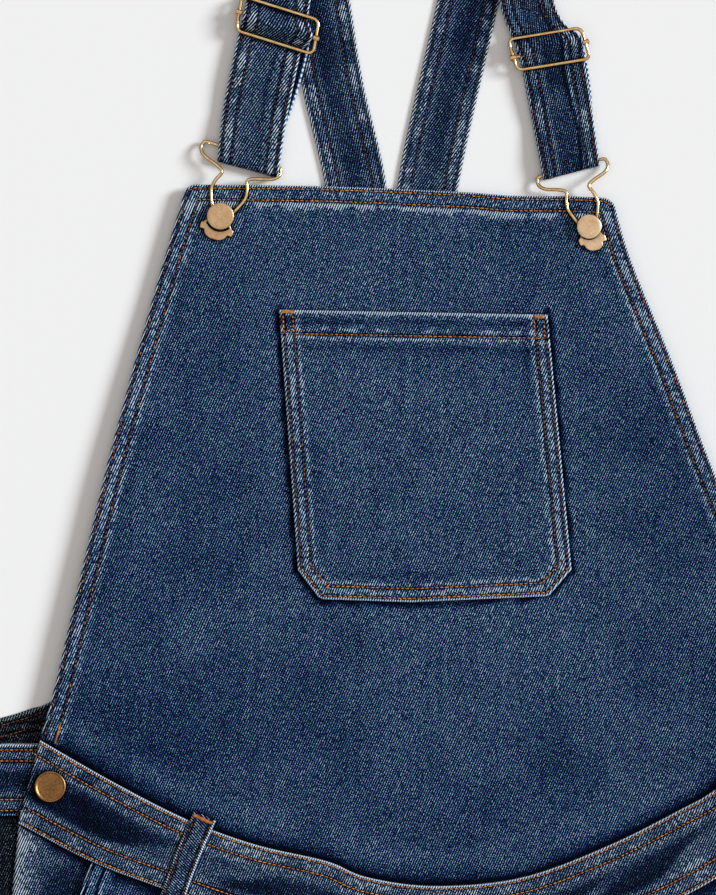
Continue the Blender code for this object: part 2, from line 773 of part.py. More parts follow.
def make_buttons(side, row, brass):
    """The bib button that the hook holds, and the waist button of the side opening."""
    x, y = row["button"]
    cloth_top = FRONT_LOW + BIB_TOP_RISE + DENIM + GAP + 0.2
    head = hook_wire_height(0) + WIRE / 2 + GAP
    radius = BUTTON_RADIUS
    profile = [
        (0, head + 1.9),
        (radius - 1.4, head + 1.8),
        (radius - 0.5, head + 1.7),
        (radius, head + 1.1),
        (radius - 0.3, head + 0.2),
        (radius - 1.2, head),
        (2.6, head),
        (2.6, cloth_top),
        (0, cloth_top),
    ]
    turned("bib_button_" + side, profile, (x, y, 0), brass)

    x, y = row["waist_button"]
    base = band_height(x) + BAND + GAP
    radius = WAIST_BUTTON_RADIUS
    profile = [
        (0, base + 1.9),
        (radius - 1.8, base + 1.8),
        (radius - 0.9, base + 2.2),
        (radius, base + 1.6),
        (radius - 0.2, base + 0.3),
        (radius - 1.2, base),
        (0, base),
    ]
    turned("waist_button_" + side, profile, (x, y, 0), brass)


def main():
    """Builds every piece."""
    denim = material("denim", INDIGO, 0.85)
    inside = material("denim_inside", INDIGO_DARK, 0.9)
    brass = material("brass", BRASS, 0.35, metallic=1.0)
    make_bib(denim)
    make_bib_pocket(denim)
    make_waistbands(denim)
    make_back_panel(inside)
    for side, row in SIDES.items():
        make_front_leg(side, row["sign"], denim)
        make_back_leg(side, row["sign"], denim)
        make_hip_pieces(side, row["sign"], denim, inside)
        make_belt_loop(side, row, denim)
        make_straps(side, row, denim)
        make_slider(side, row, brass)
        make_hook(side, row, brass)
        make_buttons(side, row, brass)


for old in list(bpy.data.objects):
    bpy.data.objects.remove(old, do_unlink=True)
GARMENT = bpy.data.collections.new("Denim dungarees")
GUIDES = bpy.data.collections.new("Guides")
for group in (GARMENT, GUIDES):
    bpy.context.scene.collection.children.link(group)
main()
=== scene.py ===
"""Denim dungarees laid flat: the cloth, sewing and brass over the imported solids.

Sizes are millimetres of the garment until a point is placed in metres. x runs to the viewer's right, y
towards the shoulders and z up from the surface that the garment lies on, from the lowest point of the
waist seam.
"""

import math
from functools import lru_cache, partial
from typing import NamedTuple

import bmesh
import bpy
import numpy as np
from bpy.props import FloatProperty, FloatVectorProperty, PointerProperty
from mathutils import Matrix, Vector


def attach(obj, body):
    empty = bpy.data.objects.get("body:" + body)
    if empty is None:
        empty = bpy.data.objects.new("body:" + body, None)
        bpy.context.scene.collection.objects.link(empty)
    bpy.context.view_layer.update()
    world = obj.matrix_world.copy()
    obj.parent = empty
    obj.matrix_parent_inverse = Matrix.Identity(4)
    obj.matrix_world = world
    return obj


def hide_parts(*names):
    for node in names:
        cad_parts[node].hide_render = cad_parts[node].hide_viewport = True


bl_info = {
    "name": "Denim Dungarees",
    "version": (1, 0, 0),
    "blender": (4, 5, 0),
    "location": "View3D > Sidebar > Dungarees",
    "description": "Builds denim dungarees laid flat, with their sewing and brass fittings",
    "category": "Add Mesh",
}

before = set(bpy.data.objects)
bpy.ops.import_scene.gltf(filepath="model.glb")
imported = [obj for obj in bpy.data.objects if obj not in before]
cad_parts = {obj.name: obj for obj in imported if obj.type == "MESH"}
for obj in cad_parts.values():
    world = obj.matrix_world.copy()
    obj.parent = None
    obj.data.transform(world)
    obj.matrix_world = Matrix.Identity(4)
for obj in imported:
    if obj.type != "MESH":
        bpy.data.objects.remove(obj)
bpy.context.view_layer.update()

MM = 0.001

# ---- The garment's sizes and tables ----

GAP = 0.3  # between layers and neighbours
SEAM = 0.4  # between pieces that are sewn edge to edge
DENIM = 1.2  # thickness of one ply in the solids
BAND = 2.0  # of a waistband
STRAP = 1.5  # of a strap
SHOULDER_Y = 548.0
HIP_X = 262.0  # half of the width across the hips
CROTCH_Y = -185.0
HEM_Y = -895.0
MID_Y = (SHOULDER_Y + HEM_Y) / 2
SHELL = 0.95  # thickness of the visible shell of one ply

SIDE_FOLD = 2.6  # radius of the fold at a side
BAND_FOLD = 2.9  # of the back waistband's
STRAP_FOLD = 2.0  # and of a strap's over the shoulder
SIDE_TOP = 2 * SIDE_FOLD
BAND_TOP = 2 * BAND_FOLD
FRONT_LOW = 3.2  # underside of the front where it lies lowest
FRONT_SEAM = SIDE_TOP - DENIM
BAND_END = BAND_TOP + GAP
MOUTH_RISE = 3.1  # what the pocket bearer lifts the slant mouth by
BIB_TOP_RISE = 0.5
BIB_SIDE_RISE = 3.4

# The seam where the bib meets the front waistband, and the waistband's lower edge: x, y.
WAIST_SEAM = [
    (-213.6, 79.6),
    (-177.7, 58.9),
    (-135.7, 37.1),
    (-98.1, 22.9),
    (-58.0, 13.5),
    (-36.5, 4.9),
    (0.0, 0.0),
    (47.4, 4.4),
    (94.8, 21.8),
    (135.7, 42.5),
    (154.2, 53.4),
    (207.0, 92.0),
]
BAND_FOOT = [
    (-225.6, 34.3),
    (-186.0, 13.6),
    (-149.2, -0.5),
    (-105.0, -16.5),
    (-58.0, -29.5),
    (0.0, -43.0),
    (58.0, -36.0),
    (117.0, -14.5),
    (159.0, 7.5),
    (219.0, 47.0),
]
BIB_LEFT = [
    (-213.6, 79.6),
    (-205.5, 109.0),
    (-189.7, 177.1),
    (-174.9, 238.2),
    (-153.7, 315.6),
    (-134.1, 381.5),
]
BIB_RIGHT = [(207.0, 92.0), (154.2, 220.7), (129.7, 285.6), (107.4, 340.6), (97.6, 373.9)]
BIB_TOP = [(-134.1, 381.5), (-56.7, 380.4), (15.3, 377.4), (42.0, 375.4), (75.0, 375.0), (97.6, 373.9)]
POCKET_LEFT = [(-73.6, 171.7), (-83.9, 313.4)]
POCKET_RIGHT = [(75.2, 172.2), (62.1, 310.7)]
POCKET_TOP = [(-83.9, 313.4), (62.1, 310.7)]
POCKET_FOOT = [(-73.6, 171.7), (-61.6, 155.9), (-12.0, 154.2), (62.7, 157.5), (75.2, 172.2)]
BACK_LEFT = [(-256.0, 77.4), (-255.0, 85.0), (-210.0, 99.0), (-150.0, 135.0), (-95.0, 215.0), (-57.0, 355.0)]
BACK_RIGHT = [(256.0, 77.4), (255.0, 85.0), (205.0, 100.0), (132.0, 135.0), (60.0, 215.0), (15.0, 355.0)]
BACK_BAND = (38.0, 77.0)  # its lower and upper edge
BACK_WRAP = 190.0  # how near the middle its ends come on the front

# The leg's silhouette: y, x of the outer fold, x of the inner fold.
LEG = [
    (38.0, 262.0, 0.0),
    (-20.0, 262.0, 0.0),
    (-100.0, 257.0, 0.0),
    (-185.0, 254.5, 0.0),
    (-260.0, 256.0, 11.0),
    (-400.0, 254.0, 24.0),
    (-525.0, 250.0, 34.0),
    (-720.0, 247.5, 45.0),
    (-895.0, 247.0, 52.0),
]
LEG_TURN = -165.0  # below this a leg's rows run straight across it
# The slant pocket's mouth and the side opening: y, x.
POCKET_MOUTH = [(13.6, 186.0), (-60.0, 212.5), (-130.0, 241.0)]
SIDE_OPENING = [(34.3, 225.6), (-5.0, 229.0), (-80.0, 238.0), (-145.0, 248.5)]
BEARER_FOOT = -120.0
BEARER_UNDER = 10.0  # how far it goes under the slant mouth
PLACKET_FOOT = -138.0
PLACKET_UNDER = (14.0, 5.0)  # the same under the side opening, at its top and foot

# The folds of the front legs: start x, y, end x, y, half width, height. The other leg mirrors them.
CREASES = [
    (70, -150, 205, -205, 16, 1.8),
    (30, -205, 120, -265, 13, 1.6),
    (200, -250, 110, -300, 15, 1.4),
    (60, -430, 170, -470, 17, 1.5),
    (230, -520, 130, -545, 15, 1.7),
    (70, -600, 190, -575, 14, 1.3),
    (215, -690, 120, -725, 16, 1.4),
    (75, -800, 200, -835, 15, 1.5),
]

# What differs between the two sides. Places are x, y.
#   widths: shares of the front strap's width above and at the slider's bar, and 32 and 2 above the hook's end
#   peek, bulge: how far the ply below shows past the upper one and the ply in the slider bulges, in mm and in
#     shares of the width
#   ring: the slider's place, turn, width and height; bar: the turn and rise of its centre bar
#   shoulder, front, back: the middle lines of both stretches of the strap
#   angles: shares of the front stretch, with the turn of its width in degrees
#   slider: how far down the front stretch the slider's bar lies
#   lean, plate_lean: the turn of the hook and of its plate; spread: shares of the hook's width and height
#   plate: share of the plate's width, and its skew in degrees
#   crease: its place across the front strap, how dark it is and how dark the strap is
#   radius: the bib button's; loop: the belt loop's middle line
# plating: the finish of the hook's plate and bib button; the right side's is painted paler, as lit more
# brightly
SIDES = {
    "left": {
        "sign": -1,
        "widths": (1.0, 1.025, 1.025, 1.0),
        "peek": (3.8, 0.0),
        "ring": (-84.6, 467.9, -17.4, 45.7, 20.6),
        "bar": (-1.4, 0.0),
        "bulge": (2.4, 0.12),
        "shoulder": (-72.5, SHOULDER_Y),
        "front": [(-84.0, 482.3), (-88.6, 460.5), (-93.3, 438.7), (-97.6, 416.9), (-101.0, 389.4)],
        "angles": [(0, 0), (0.3, -12), (0.46, -16), (0.56, -16), (0.8, -12), (1, -15)],
        "back": [(-62.0, 482.3), (-54.5, 435.0), (-42.0, 380.4), (-41.0, 336.0)],
        "slider": 81.0,
        "hook": (-115.6, 364.1),
        "button": (-115.6, 364.0),
        "lean": -19.5,
        "plate_lean": -17.0,
        "spread": (1.0, 1.0),
        "plate": (1.0, 0.0),
        "plating": "brass_hook",
        "crease": (5.0, 0.25, 0.0),
        "radius": 7.4,
        "waist_button": (-207.9, 54.4),
        "loop": [(-124.0, 38.4), (-133.4, 16.9), (-142.9, -9.1)],
    },
    "right": {
        "sign": 1,
        "widths": (0.84, 0.98, 0.97, 0.92),
        "peek": (0.5, 0.05),
        "ring": (63.0, 454.9, 9.2, 41.9, 19.2),
        "bar": (3.0, -0.4),
        "bulge": (1.2, 0.06),
        "shoulder": (33.5, SHOULDER_Y),
        "front": [(50.4, 482.3), (55.9, 467.6), (63.0, 455.1), (66.4, 441.5), (70.0, 420.0), (75.3, 387.6)],
        "angles": [(0, 0), (0.3, 10), (0.5, 11), (0.64, 11), (0.85, 14.5), (1, 14.8)],
        "back": [(19.3, 482.3), (-3.0, 380.4), (-4.5, 336.0)],
        "slider": 95.0,
        "hook": (84.4, 358.1),
        "button": (84.6, 358.3),
        "lean": 16.0,
        "plate_lean": 11.0,
        "spread": (0.87, 0.94),
        "plate": (0.8, 6.0),
        "plating": "brass_hook_pale",
        "crease": (6.3, 0.75, 0.12),
        "radius": 6.75,
        "waist_button": (202.0, 66.0),
        "loop": [(160.0, 60.0), (170.0, 38.0), (180.0, 12.0)],
    },
}
STRAP_WIDTH = 34.5
STRAP_CROSSING = STRAP + GAP + 0.1  # what the back stretch lifts the front one by
FOLD_START = 3.4  # how far below the shoulder both stretches start
BACK_STRAP_WIDTH = 33.0
BACK_STRAP_LEAN = 11.0  # between a back strap's line and its width, in degrees
HOOK_TURN = 2.2  # radius of a strap's turn round the hook's bar
BAR_BUMP = 4.5  # height of its bump over the slider's bar
LOOP_WIDTH = 13.0

WIRE = 1.9  # thickness
SLIDER_RACK = 7.5  # how far its wires have been pulled out of square, in degrees
SLIDER_Z = 4.55
SLIDER_RADIUS = 3.2
HOOK_BAR_UP = 36.0
HOOK_BAR_Z = 3.0
WAIST_BUTTON_RADIUS = 8.5
# Half of the hook's wire from its foot to its bar, and half of its plate, from the button's middle: x, y.
HOOK_WIRE = [
    (4.4, -4.6),
    (5.2, -2.0),
    (5.6, 3.0),
    (7.6, 7.2),
    (9.6, 13.0),
    (9.0, 18.0),
    (7.3, 23.0),
    (11.5, 25.6),
    (19.0, 28.0),
    (22.4, 31.0),
    (22.4, 34.2),
    (19.4, HOOK_BAR_UP),
    (0.0, HOOK_BAR_UP),
]
HOOK_PLATE = [
    (0.0, -13.2),
    (3.2, -12.8),
    (5.8, -11.0),
    (6.6, -9.2),
    (8.9, -9.0),
    (9.2, -6.0),
    (7.8, -5.0),
    (5.6, -2.4),
    (3.0, -3.1),
    (0.0, -3.4),
]

# ---- Sewing ----

# How far in from an edge a cloth grid has its close columns, for hems and their stitch rows.
HEM_ZONE = (0.0, 0.3, 0.7, 1.2, 1.8, 2.4, 3.1, 3.9, 4.8, 5.7, 6.6, 7.4, 8.2, 9.0, 9.9, 11.0, 12.4, 14.2, 16.5)
SHORT_ZONE = (0.0, 0.4, 0.9, 1.5, 2.2, 3.2, 4.6)
# How far apart a grid's rows or columns are between those.
BIB_STEP = 3.2
POCKET_STEP = 2.6
BAND_STEP = 3.0
BAND_ROW_STEP = 1.4
BACK_STEP = 7.0
LEG_STEP = 4.2
HIP_ROW_STEP = 3.4

BIB_ROWS = (1.9, 8.1)
BIB_CORNER = 5.0
POCKET_ROWS = (2.1, 7.4)
POCKET_HEM = 13.0
POCKET_SIZE = (148.0, 150.0)  # its middle width and height
BAND_DEEP = 44.0  # the front waistband, at its middle
BAND_THICK = 1.5  # thickness of the visible shell of both
BAND_TOP_ROWS = (1.7, 8.1)
BAND_FOOT_ROWS = (1.7, 9.4)
STRAP_ROWS = (2.2, 7.7)
LOOP_ROWS = (2.0,)
MOUTH_ROWS = (2.0, 8.0)
BACK_ROWS = (3.0, 9.0)
LEG_HEM = 14.0
LEG_WIDE = 205.0  # for its grid
HIP_HIGH = 170.0  # for its grid
INSEAM_ROWS = (2.0, 7.5)


class Hem(NamedTuple):
    """An edge that is turned in and stitched, how much its sewing lifts it, how worn it is and the shade
    painted along it.
    """

    rows: tuple  # how far the stitch rows lie from the edge
    lift: float = 0.4  # the turned-in cloth
    crest: float = 0.8  # wear on the edge itself
    middle: float = 0.5  # wear between the rows
    band: float = 0.5  # wear inside the last row
    seed: int = 1
    pitch: float = 6.5  # of the puckers
    reach: float = 3.4  # of the wear inside the last row
    edge: float = 1.25  # how far the wear on the edge goes in
    spots: float = 0.0  # how much of the wear between the rows comes on the puckers only
    # groove is partly painted shade: its dark lines also stand in for the shade of the sunken rows
    groove: float = 0.7  # how dark the cloth stays under its rows


# ---- Sums on arrays of places ----

LINE_KNOTS = 4096  # random values that a line of waves runs through
CLOUD_KNOTS = 128  # and a side of a plane of patches


def smooth(t, soft=1.0):
    """An ease from 0 to 1; soft 0 is a straight ramp."""
    t = np.clip(t, 0.0, 1.0)
    return (1 - soft) * t + soft * t * t * (3 - 2 * t)


def bell(t):
    """A soft hump round zero."""
    return np.exp(-np.square(t))


def ripple(along, pitch, seed):
    """Uneven waves from 0 to 1 along a line."""
    knots = np.random.default_rng(seed).random(LINE_KNOTS)
    place = np.asarray(along) / pitch + LINE_KNOTS // 2
    k = np.floor(place).astype(int)
    t = smooth(place - k)
    return (1 - t) * knots[k % LINE_KNOTS] + t * knots[(k + 1) % LINE_KNOTS]


def cloud(x, y, size, seed):
    """Soft patches from 0 to 1 over a plane."""
    knots = np.random.default_rng(seed).random((CLOUD_KNOTS, CLOUD_KNOTS))
    p, q = (np.asarray(part) / size + CLOUD_KNOTS // 2 for part in (x, y))
    i, j = np.floor(p).astype(int), np.floor(q).astype(int)
    s, t = smooth(p - i), smooth(q - j)
    i, j = i % (CLOUD_KNOTS - 1), j % (CLOUD_KNOTS - 1)
    low = (1 - s) * knots[i, j] + s * knots[i + 1, j]
    high = (1 - s) * knots[i, j + 1] + s * knots[i + 1, j + 1]
    return (1 - t) * low + t * high


def mottle(x, y, size, seed):
    """Soft patches round zero over a plane."""
    return cloud(x, y, size, seed) - 0.5


def run_of(points):
    """How far along a line each of its points lies."""
    return np.concatenate([[0], np.cumsum(np.linalg.norm(np.diff(points, axis=0), axis=1))])


def path_through(points, soft=True):
    """A path through a few points, read by its share of length from 0 to 1; a soft one is rounded."""
    points = np.array(points, float)
    if soft and len(points) > 2:
        ends = [2 * points[0] - points[1], *points, 2 * points[-1] - points[-2]]
        fine = []
        for a, b, c, d in zip(ends, ends[1:], ends[2:], ends[3:]):
            for t in np.arange(0, 1, 0.1):
                bend = (2 * a - 5 * b + 4 * c - d) * t**2 + (3 * b - a - 3 * c + d) * t**3
                fine.append(b + 0.5 * ((c - a) * t + bend))
        points = np.array([*fine, points[-1]])
    along = run_of(points)

    def read(t):
        return np.stack([np.interp(t * along[-1], along, column) for column in points.T], axis=-1)

    return read


def line_of(path, count=121):
    """Points along a path."""
    return path(np.linspace(0, 1, count))


def line_through(points, count=121, soft=True):
    """Points along the path through a few points."""
    return line_of(path_through(points, soft), count)


def unit(turn):
    """Unit vectors at angles to the x axis."""
    return np.stack([np.cos(turn), np.sin(turn)], axis=-1)


def left_of(line):
    """Unit vectors to a line's left side, at each of its points."""
    heading = np.gradient(line, axis=0)
    heading /= np.linalg.norm(heading, axis=1)[:, None]
    return np.stack([-heading[:, 1], heading[:, 0]], axis=-1)


def length_of(path):
    """The length of a path."""
    return float(np.linalg.norm(np.diff(line_of(path, 101), axis=0), axis=1).sum())


def y_on(points, x):
    """The height of an edge that runs left to right, at x."""
    edge = line_through(points, 101)
    return np.interp(x, edge[:, 0], edge[:, 1])


def read_table(rows, y, column):
    """A column of a table whose rows start with y, eased between the rows."""
    rows = np.array(sorted(rows), float)
    k = np.clip(np.searchsorted(rows[:, 0], y) - 1, 0, len(rows) - 2)
    t = smooth((y - rows[k, 0]) / (rows[k + 1, 0] - rows[k, 0]), soft=0.4)
    return rows[k, column] + t * (rows[k + 1, column] - rows[k, column])


def patch(foot, top, left, right):
    """Fills four edge paths with a surface over u across and v up (a Coons patch)."""
    corners = foot(0.0), foot(1.0), top(0.0), top(1.0)

    def surface(u, v):
        a, b, c, d = corners
        p, q = np.asarray(u)[..., None], np.asarray(v)[..., None]
        edges = (1 - q) * foot(u) + q * top(u) + (1 - p) * left(v) + p * right(v)
        return edges - (1 - p) * (1 - q) * a - p * (1 - q) * b - (1 - p) * q * c - p * q * d

    return surface


def from_line(line, x, y):
    """How far places lie from a line of points, and how far along it."""
    away = np.full(np.shape(x), 1e9)
    along = np.zeros(np.shape(x))
    run = 0.0
    for (ax, ay), (bx, by) in zip(line, line[1:]):
        dx, dy = bx - ax, by - ay
        length = math.hypot(dx, dy)
        share = np.clip(((x - ax) * dx + (y - ay) * dy) / length**2, 0, 1)
        gone = np.hypot(x - ax - share * dx, y - ay - share * dy)
        near = gone < away
        away = np.where(near, gone, away)
        along = np.where(near, run + share * length, along)
        run += length
    return away, along


def shares(lengths, step, start=HEM_ZONE, end=HEM_ZONE):
    """Shares of each length at which a grid has its points: close near both ends and step apart between."""
    lengths = np.atleast_1d(np.asarray(lengths, float))[:, None]
    a, b = np.array(start), np.array(end)
    count = max(2, round(float((lengths.mean() - a[-1] - b[-1]) / step)))
    inner = a[-1] + np.linspace(0, 1, count + 1)[None, 1:-1] * (lengths - a[-1] - b[-1])
    left = np.broadcast_to(a, (len(lengths), len(a)))
    return np.concatenate([left, inner, lengths - b[::-1]], axis=1) / lengths


def grid_over(surface, v, step):
    """Places over a surface in rows at v, with their shares of the way across and the rows' widths."""
    widths = np.linalg.norm(surface(np.ones_like(v), v) - surface(np.zeros_like(v), v), axis=1)
    u = shares(widths, step)
    return surface(u, np.broadcast_to(v[:, None], u.shape)), u, widths


def hem_form(hem, away, along):
    """What a hem adds to the cloth at a distance from its edge: lift, small relief, and wear with painted
    shade.
    """
    rows = hem.rows
    last = max(rows, default=0.0)
    pucker = ripple(along + 0.45 * away, hem.pitch, hem.seed)
    slow = ripple(along + 0.3 * away, 21.0, hem.seed + 50)
    lift = hem.lift * smooth((last + 1.6 - away) / 2.6)
    dips = sum(bell((away - row) / 0.75) for row in rows)
    turn = 1.0 - np.clip(away, 0, 1.0)
    relief = -0.75 * (1 - np.sqrt(1 - turn**2)) - 0.3 * dips
    relief = relief + 0.34 * (pucker - 0.5) * smooth(away / 1.2) * smooth((last + 9 - away) / 8)
    wear = hem.crest * bell(away / hem.edge)
    if len(rows) > 1:
        between = smooth((away - rows[0] - 0.3) / 0.8) * smooth((last - 0.3 - away) / 0.8)
        even = (1 - hem.spots) * (0.75 + 0.35 * slow)
        wear = wear + between * (hem.middle * even + hem.spots * (1.1 * smooth((pucker - 0.3) / 0.3) - 0.15))
    past = away - last - 1.6
    inside = bell(past / np.where(past > 0, hem.reach, 0.7))
    wear = wear + hem.band * inside * (0.7 + 0.5 * slow) * (away > last)
    # painted shade: a soft dark line past the worn band, and darker cloth along each stitch row, partly kept
    # dye
    wear = wear - 0.08 * bell((away - last - 3.0 - 1.6 * hem.reach) / 3.0) * (len(rows) > 0)
    wear = wear - hem.groove * sum(bell((away - row) / 0.8) for row in rows)
    return lift, relief, wear


def hems_form(hems, x, y):
    """Several hems over a panel: their edges are lines of points."""
    lift, relief, wear = 0.0, 0.0, 0.0
    for hem, line in hems:
        raised, small, worn_and_shaded = hem_form(hem, *from_line(line, x, y))
        lift = np.maximum(lift, raised)
        relief = relief + small
        wear = wear + worn_and_shaded
    return lift + relief, wear


# ---- Heights of the layers, as in the solids ----


def crease_height(x, y):
    """The height that the front legs' folds add at a place."""
    total = np.zeros(np.shape(x))
    for x0, y0, x1, y1, width, height in CREASES:
        run = math.hypot(x1 - x0, y1 - y0)
        ax, ay = (x1 - x0) / run, (y1 - y0) / run
        px, py = np.abs(x) - x0, y - y0
        share = (px * ax + py * ay) / run
        aside = px * ay - py * ax + 5 * np.sin(share * 5 + height * 9)
        fade = smooth(share / 0.3) * smooth((1 - share) / 0.5)
        total = total + height * fade * bell(aside / width)
    return total


def band_height(x):
    """The underside of the front waistband and of what is sewn to it."""
    return FRONT_LOW + (BAND_END - FRONT_LOW) * smooth((np.abs(x) - 95) / 85)


def bib_height(x, y):
    """The underside of the bib: low at the middle, with its loose sides curled up."""
    left = read_table([(q, p) for p, q in BIB_LEFT], y, 1)
    right = read_table([(q, p) for p, q in BIB_RIGHT], y, 1)
    across = np.abs(2 * (x - left) / (right - left) - 1)
    seam = smooth(1 - (y - y_on(WAIST_SEAM, x)) / 70)
    upper = smooth((y - 150) / 120)
    curl = BIB_SIDE_RISE * smooth((across - 0.45) / 0.55) * (1 - 0.85 * smooth((y - 120) / 230))
    loose = FRONT_LOW + BIB_TOP_RISE * upper + curl
    return seam * (band_height(x) + 0.1) + (1 - seam) * loose


def leg_height(x, y, u):
    """The underside of a front leg, where u runs from its outer to its inner edge."""
    edge = np.abs(2 * u - 1) ** 6
    over_bearer = smooth((y - LEG_TURN + 5) / 36)
    aside = np.abs(x) - read_table(POCKET_MOUTH, np.maximum(y, POCKET_MOUTH[-1][0]), 1)
    mouth = MOUTH_RISE * over_bearer * bell(aside / 18)
    outer = edge * (FRONT_SEAM - FRONT_LOW)
    return FRONT_LOW + outer + mouth + crease_height(x, y) * (1 - edge)


# ---- Making pieces ----

LEAST_FILL = 0.31  # a sheet's area is at least this share of its width by its length


def placed(x, y, z):
    """A point of the garment in metres, in its own frame."""
    return Vector((x * MM, (y - MID_Y) * MM, z * MM))


def collected(obj):
    """Links a new object into the scene."""
    bpy.context.scene.collection.objects.link(obj)
    return obj


def sizes():
    """The add-on's values."""
    return bpy.context.scene.dungarees


def ride(obj, slot, *nodes):
    """Fixes a piece to the garment and hides the solids that it stands for."""
    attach(obj, "root")
    if nodes:
        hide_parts(*nodes)
    return obj


def cloth(name, places, grain, wear, twill, rests_on=(), thick=SHELL, mirrored=False):
    """A piece of cloth from a grid of places on its upper face, with its grain in mm and its wear with
    painted shade.

    A mirrored one has its columns read backwards, which keeps its outer side out.
    """
    grids = [np.broadcast_to(part, places[0].shape) for part in (*places, *grain, wear)]
    x, y, z, across, along, wear = (part[:, ::-1] if mirrored else part for part in grids)
    rows, columns = x.shape
    mesh = bpy.data.meshes.new(name)
    points = np.stack([x * MM, (y - MID_Y) * MM, z * MM], axis=-1).reshape(-1, 3)
    base = (np.arange(rows - 1)[:, None] * columns + np.arange(columns - 1)[None, :]).reshape(-1)
    quads = np.stack([base, base + 1, base + columns + 1, base + columns], axis=-1)
    mesh.from_pydata(points.tolist(), [], quads.tolist())
    mesh.polygons.foreach_set("use_smooth", np.ones(len(quads), bool))
    grain = np.stack([across.reshape(-1), along.reshape(-1)], axis=-1) * MM
    mesh.uv_layers.new(name="grain").data.foreach_set("uv", grain[quads.reshape(-1)].reshape(-1))
    worn_and_shaded = mesh.attributes.new("wear", "FLOAT", "POINT")
    worn_and_shaded.data.foreach_set("value", np.clip(wear, -1, 2).reshape(-1))
    mesh.materials.append(finish(twill))
    obj = collected(bpy.data.objects.new("cloth_" + name, mesh))
    solid = obj.modifiers.new("cloth thickness", "SOLIDIFY")
    solid.thickness = thick * MM
    solid.offset = -1
    ride(obj, "denim_inside" if twill == "twill_inside" else "denim", name)
    cut = grain[quads]
    one, two = cut[:, 2] - cut[:, 0], cut[:, 3] - cut[:, 1]
    area = float(np.abs(one[:, 0] * two[:, 1] - one[:, 1] * two[:, 0]).sum()) / 2
    flat = float(np.ptp(across)) * MM, float(np.ptp(along)) * MM
    area = min(max(area, LEAST_FILL * flat[0] * flat[1]), flat[0] * flat[1])
    list(rests_on)
    return obj


def fold_mesh(obj):
    """Turns an object's evaluated shape into its own plain mesh."""
    bpy.context.view_layer.update()
    mesh = bpy.data.meshes.new_from_object(obj.evaluated_get(bpy.context.evaluated_depsgraph_get()))
    mesh.name = obj.name
    made = bpy.data.objects.new(obj.name, mesh)
    bpy.data.objects.remove(obj)
    made.name = mesh.name
    return collected(made)


# ---- Nodes and materials ----


def srgb(code):
    """An sRGB hex colour as linear red, green, blue and alpha."""
    channels = [int(code[k : k + 2], 16) / 255 for k in (1, 3, 5)]
    return (*(c / 12.92 if c <= 0.04045 else ((c + 0.055) / 1.055) ** 2.4 for c in channels), 1.0)


def set_inputs(node, given):
    """Gives a node's inputs their values, or links them to a socket or to the first output of a node."""
    for socket, source in given.items():
        if isinstance(source, bpy.types.Node):
            source = source.outputs[0]
        if isinstance(source, bpy.types.NodeSocket):
            node.id_data.links.new(source, node.inputs[socket])
        else:
            node.inputs[socket].default_value = source


def add_node(tree, kind, given=None, **settings):
    """Adds a node with its settings and what its inputs are given; a bare kind is a shader node's."""
    node = tree.nodes.new(kind if "Node" in kind else "ShaderNode" + kind)
    for name, value in settings.items():
        setattr(node, name, value)
    set_inputs(node, given or {})
    return node


def ramp(node, stops):
    """Sets a colour ramp's stops and gives it back."""
    elements = node.color_ramp.elements
    while len(elements) < len(stops):
        elements.new(0.5)
    for element, (position, colour) in zip(elements, stops):
        element.position = position
        element.color = srgb(colour)
    return node


def new_material(name):
    """An empty material, what adds its nodes, and its shader."""
    made = bpy.data.materials.new(name)
    made.use_nodes = True
    made.node_tree.nodes.clear()
    add = partial(add_node, made.node_tree)
    shader = add("BsdfPrincipled")
    add("OutputMaterial", {"Surface": shader})
    return made, add, shader


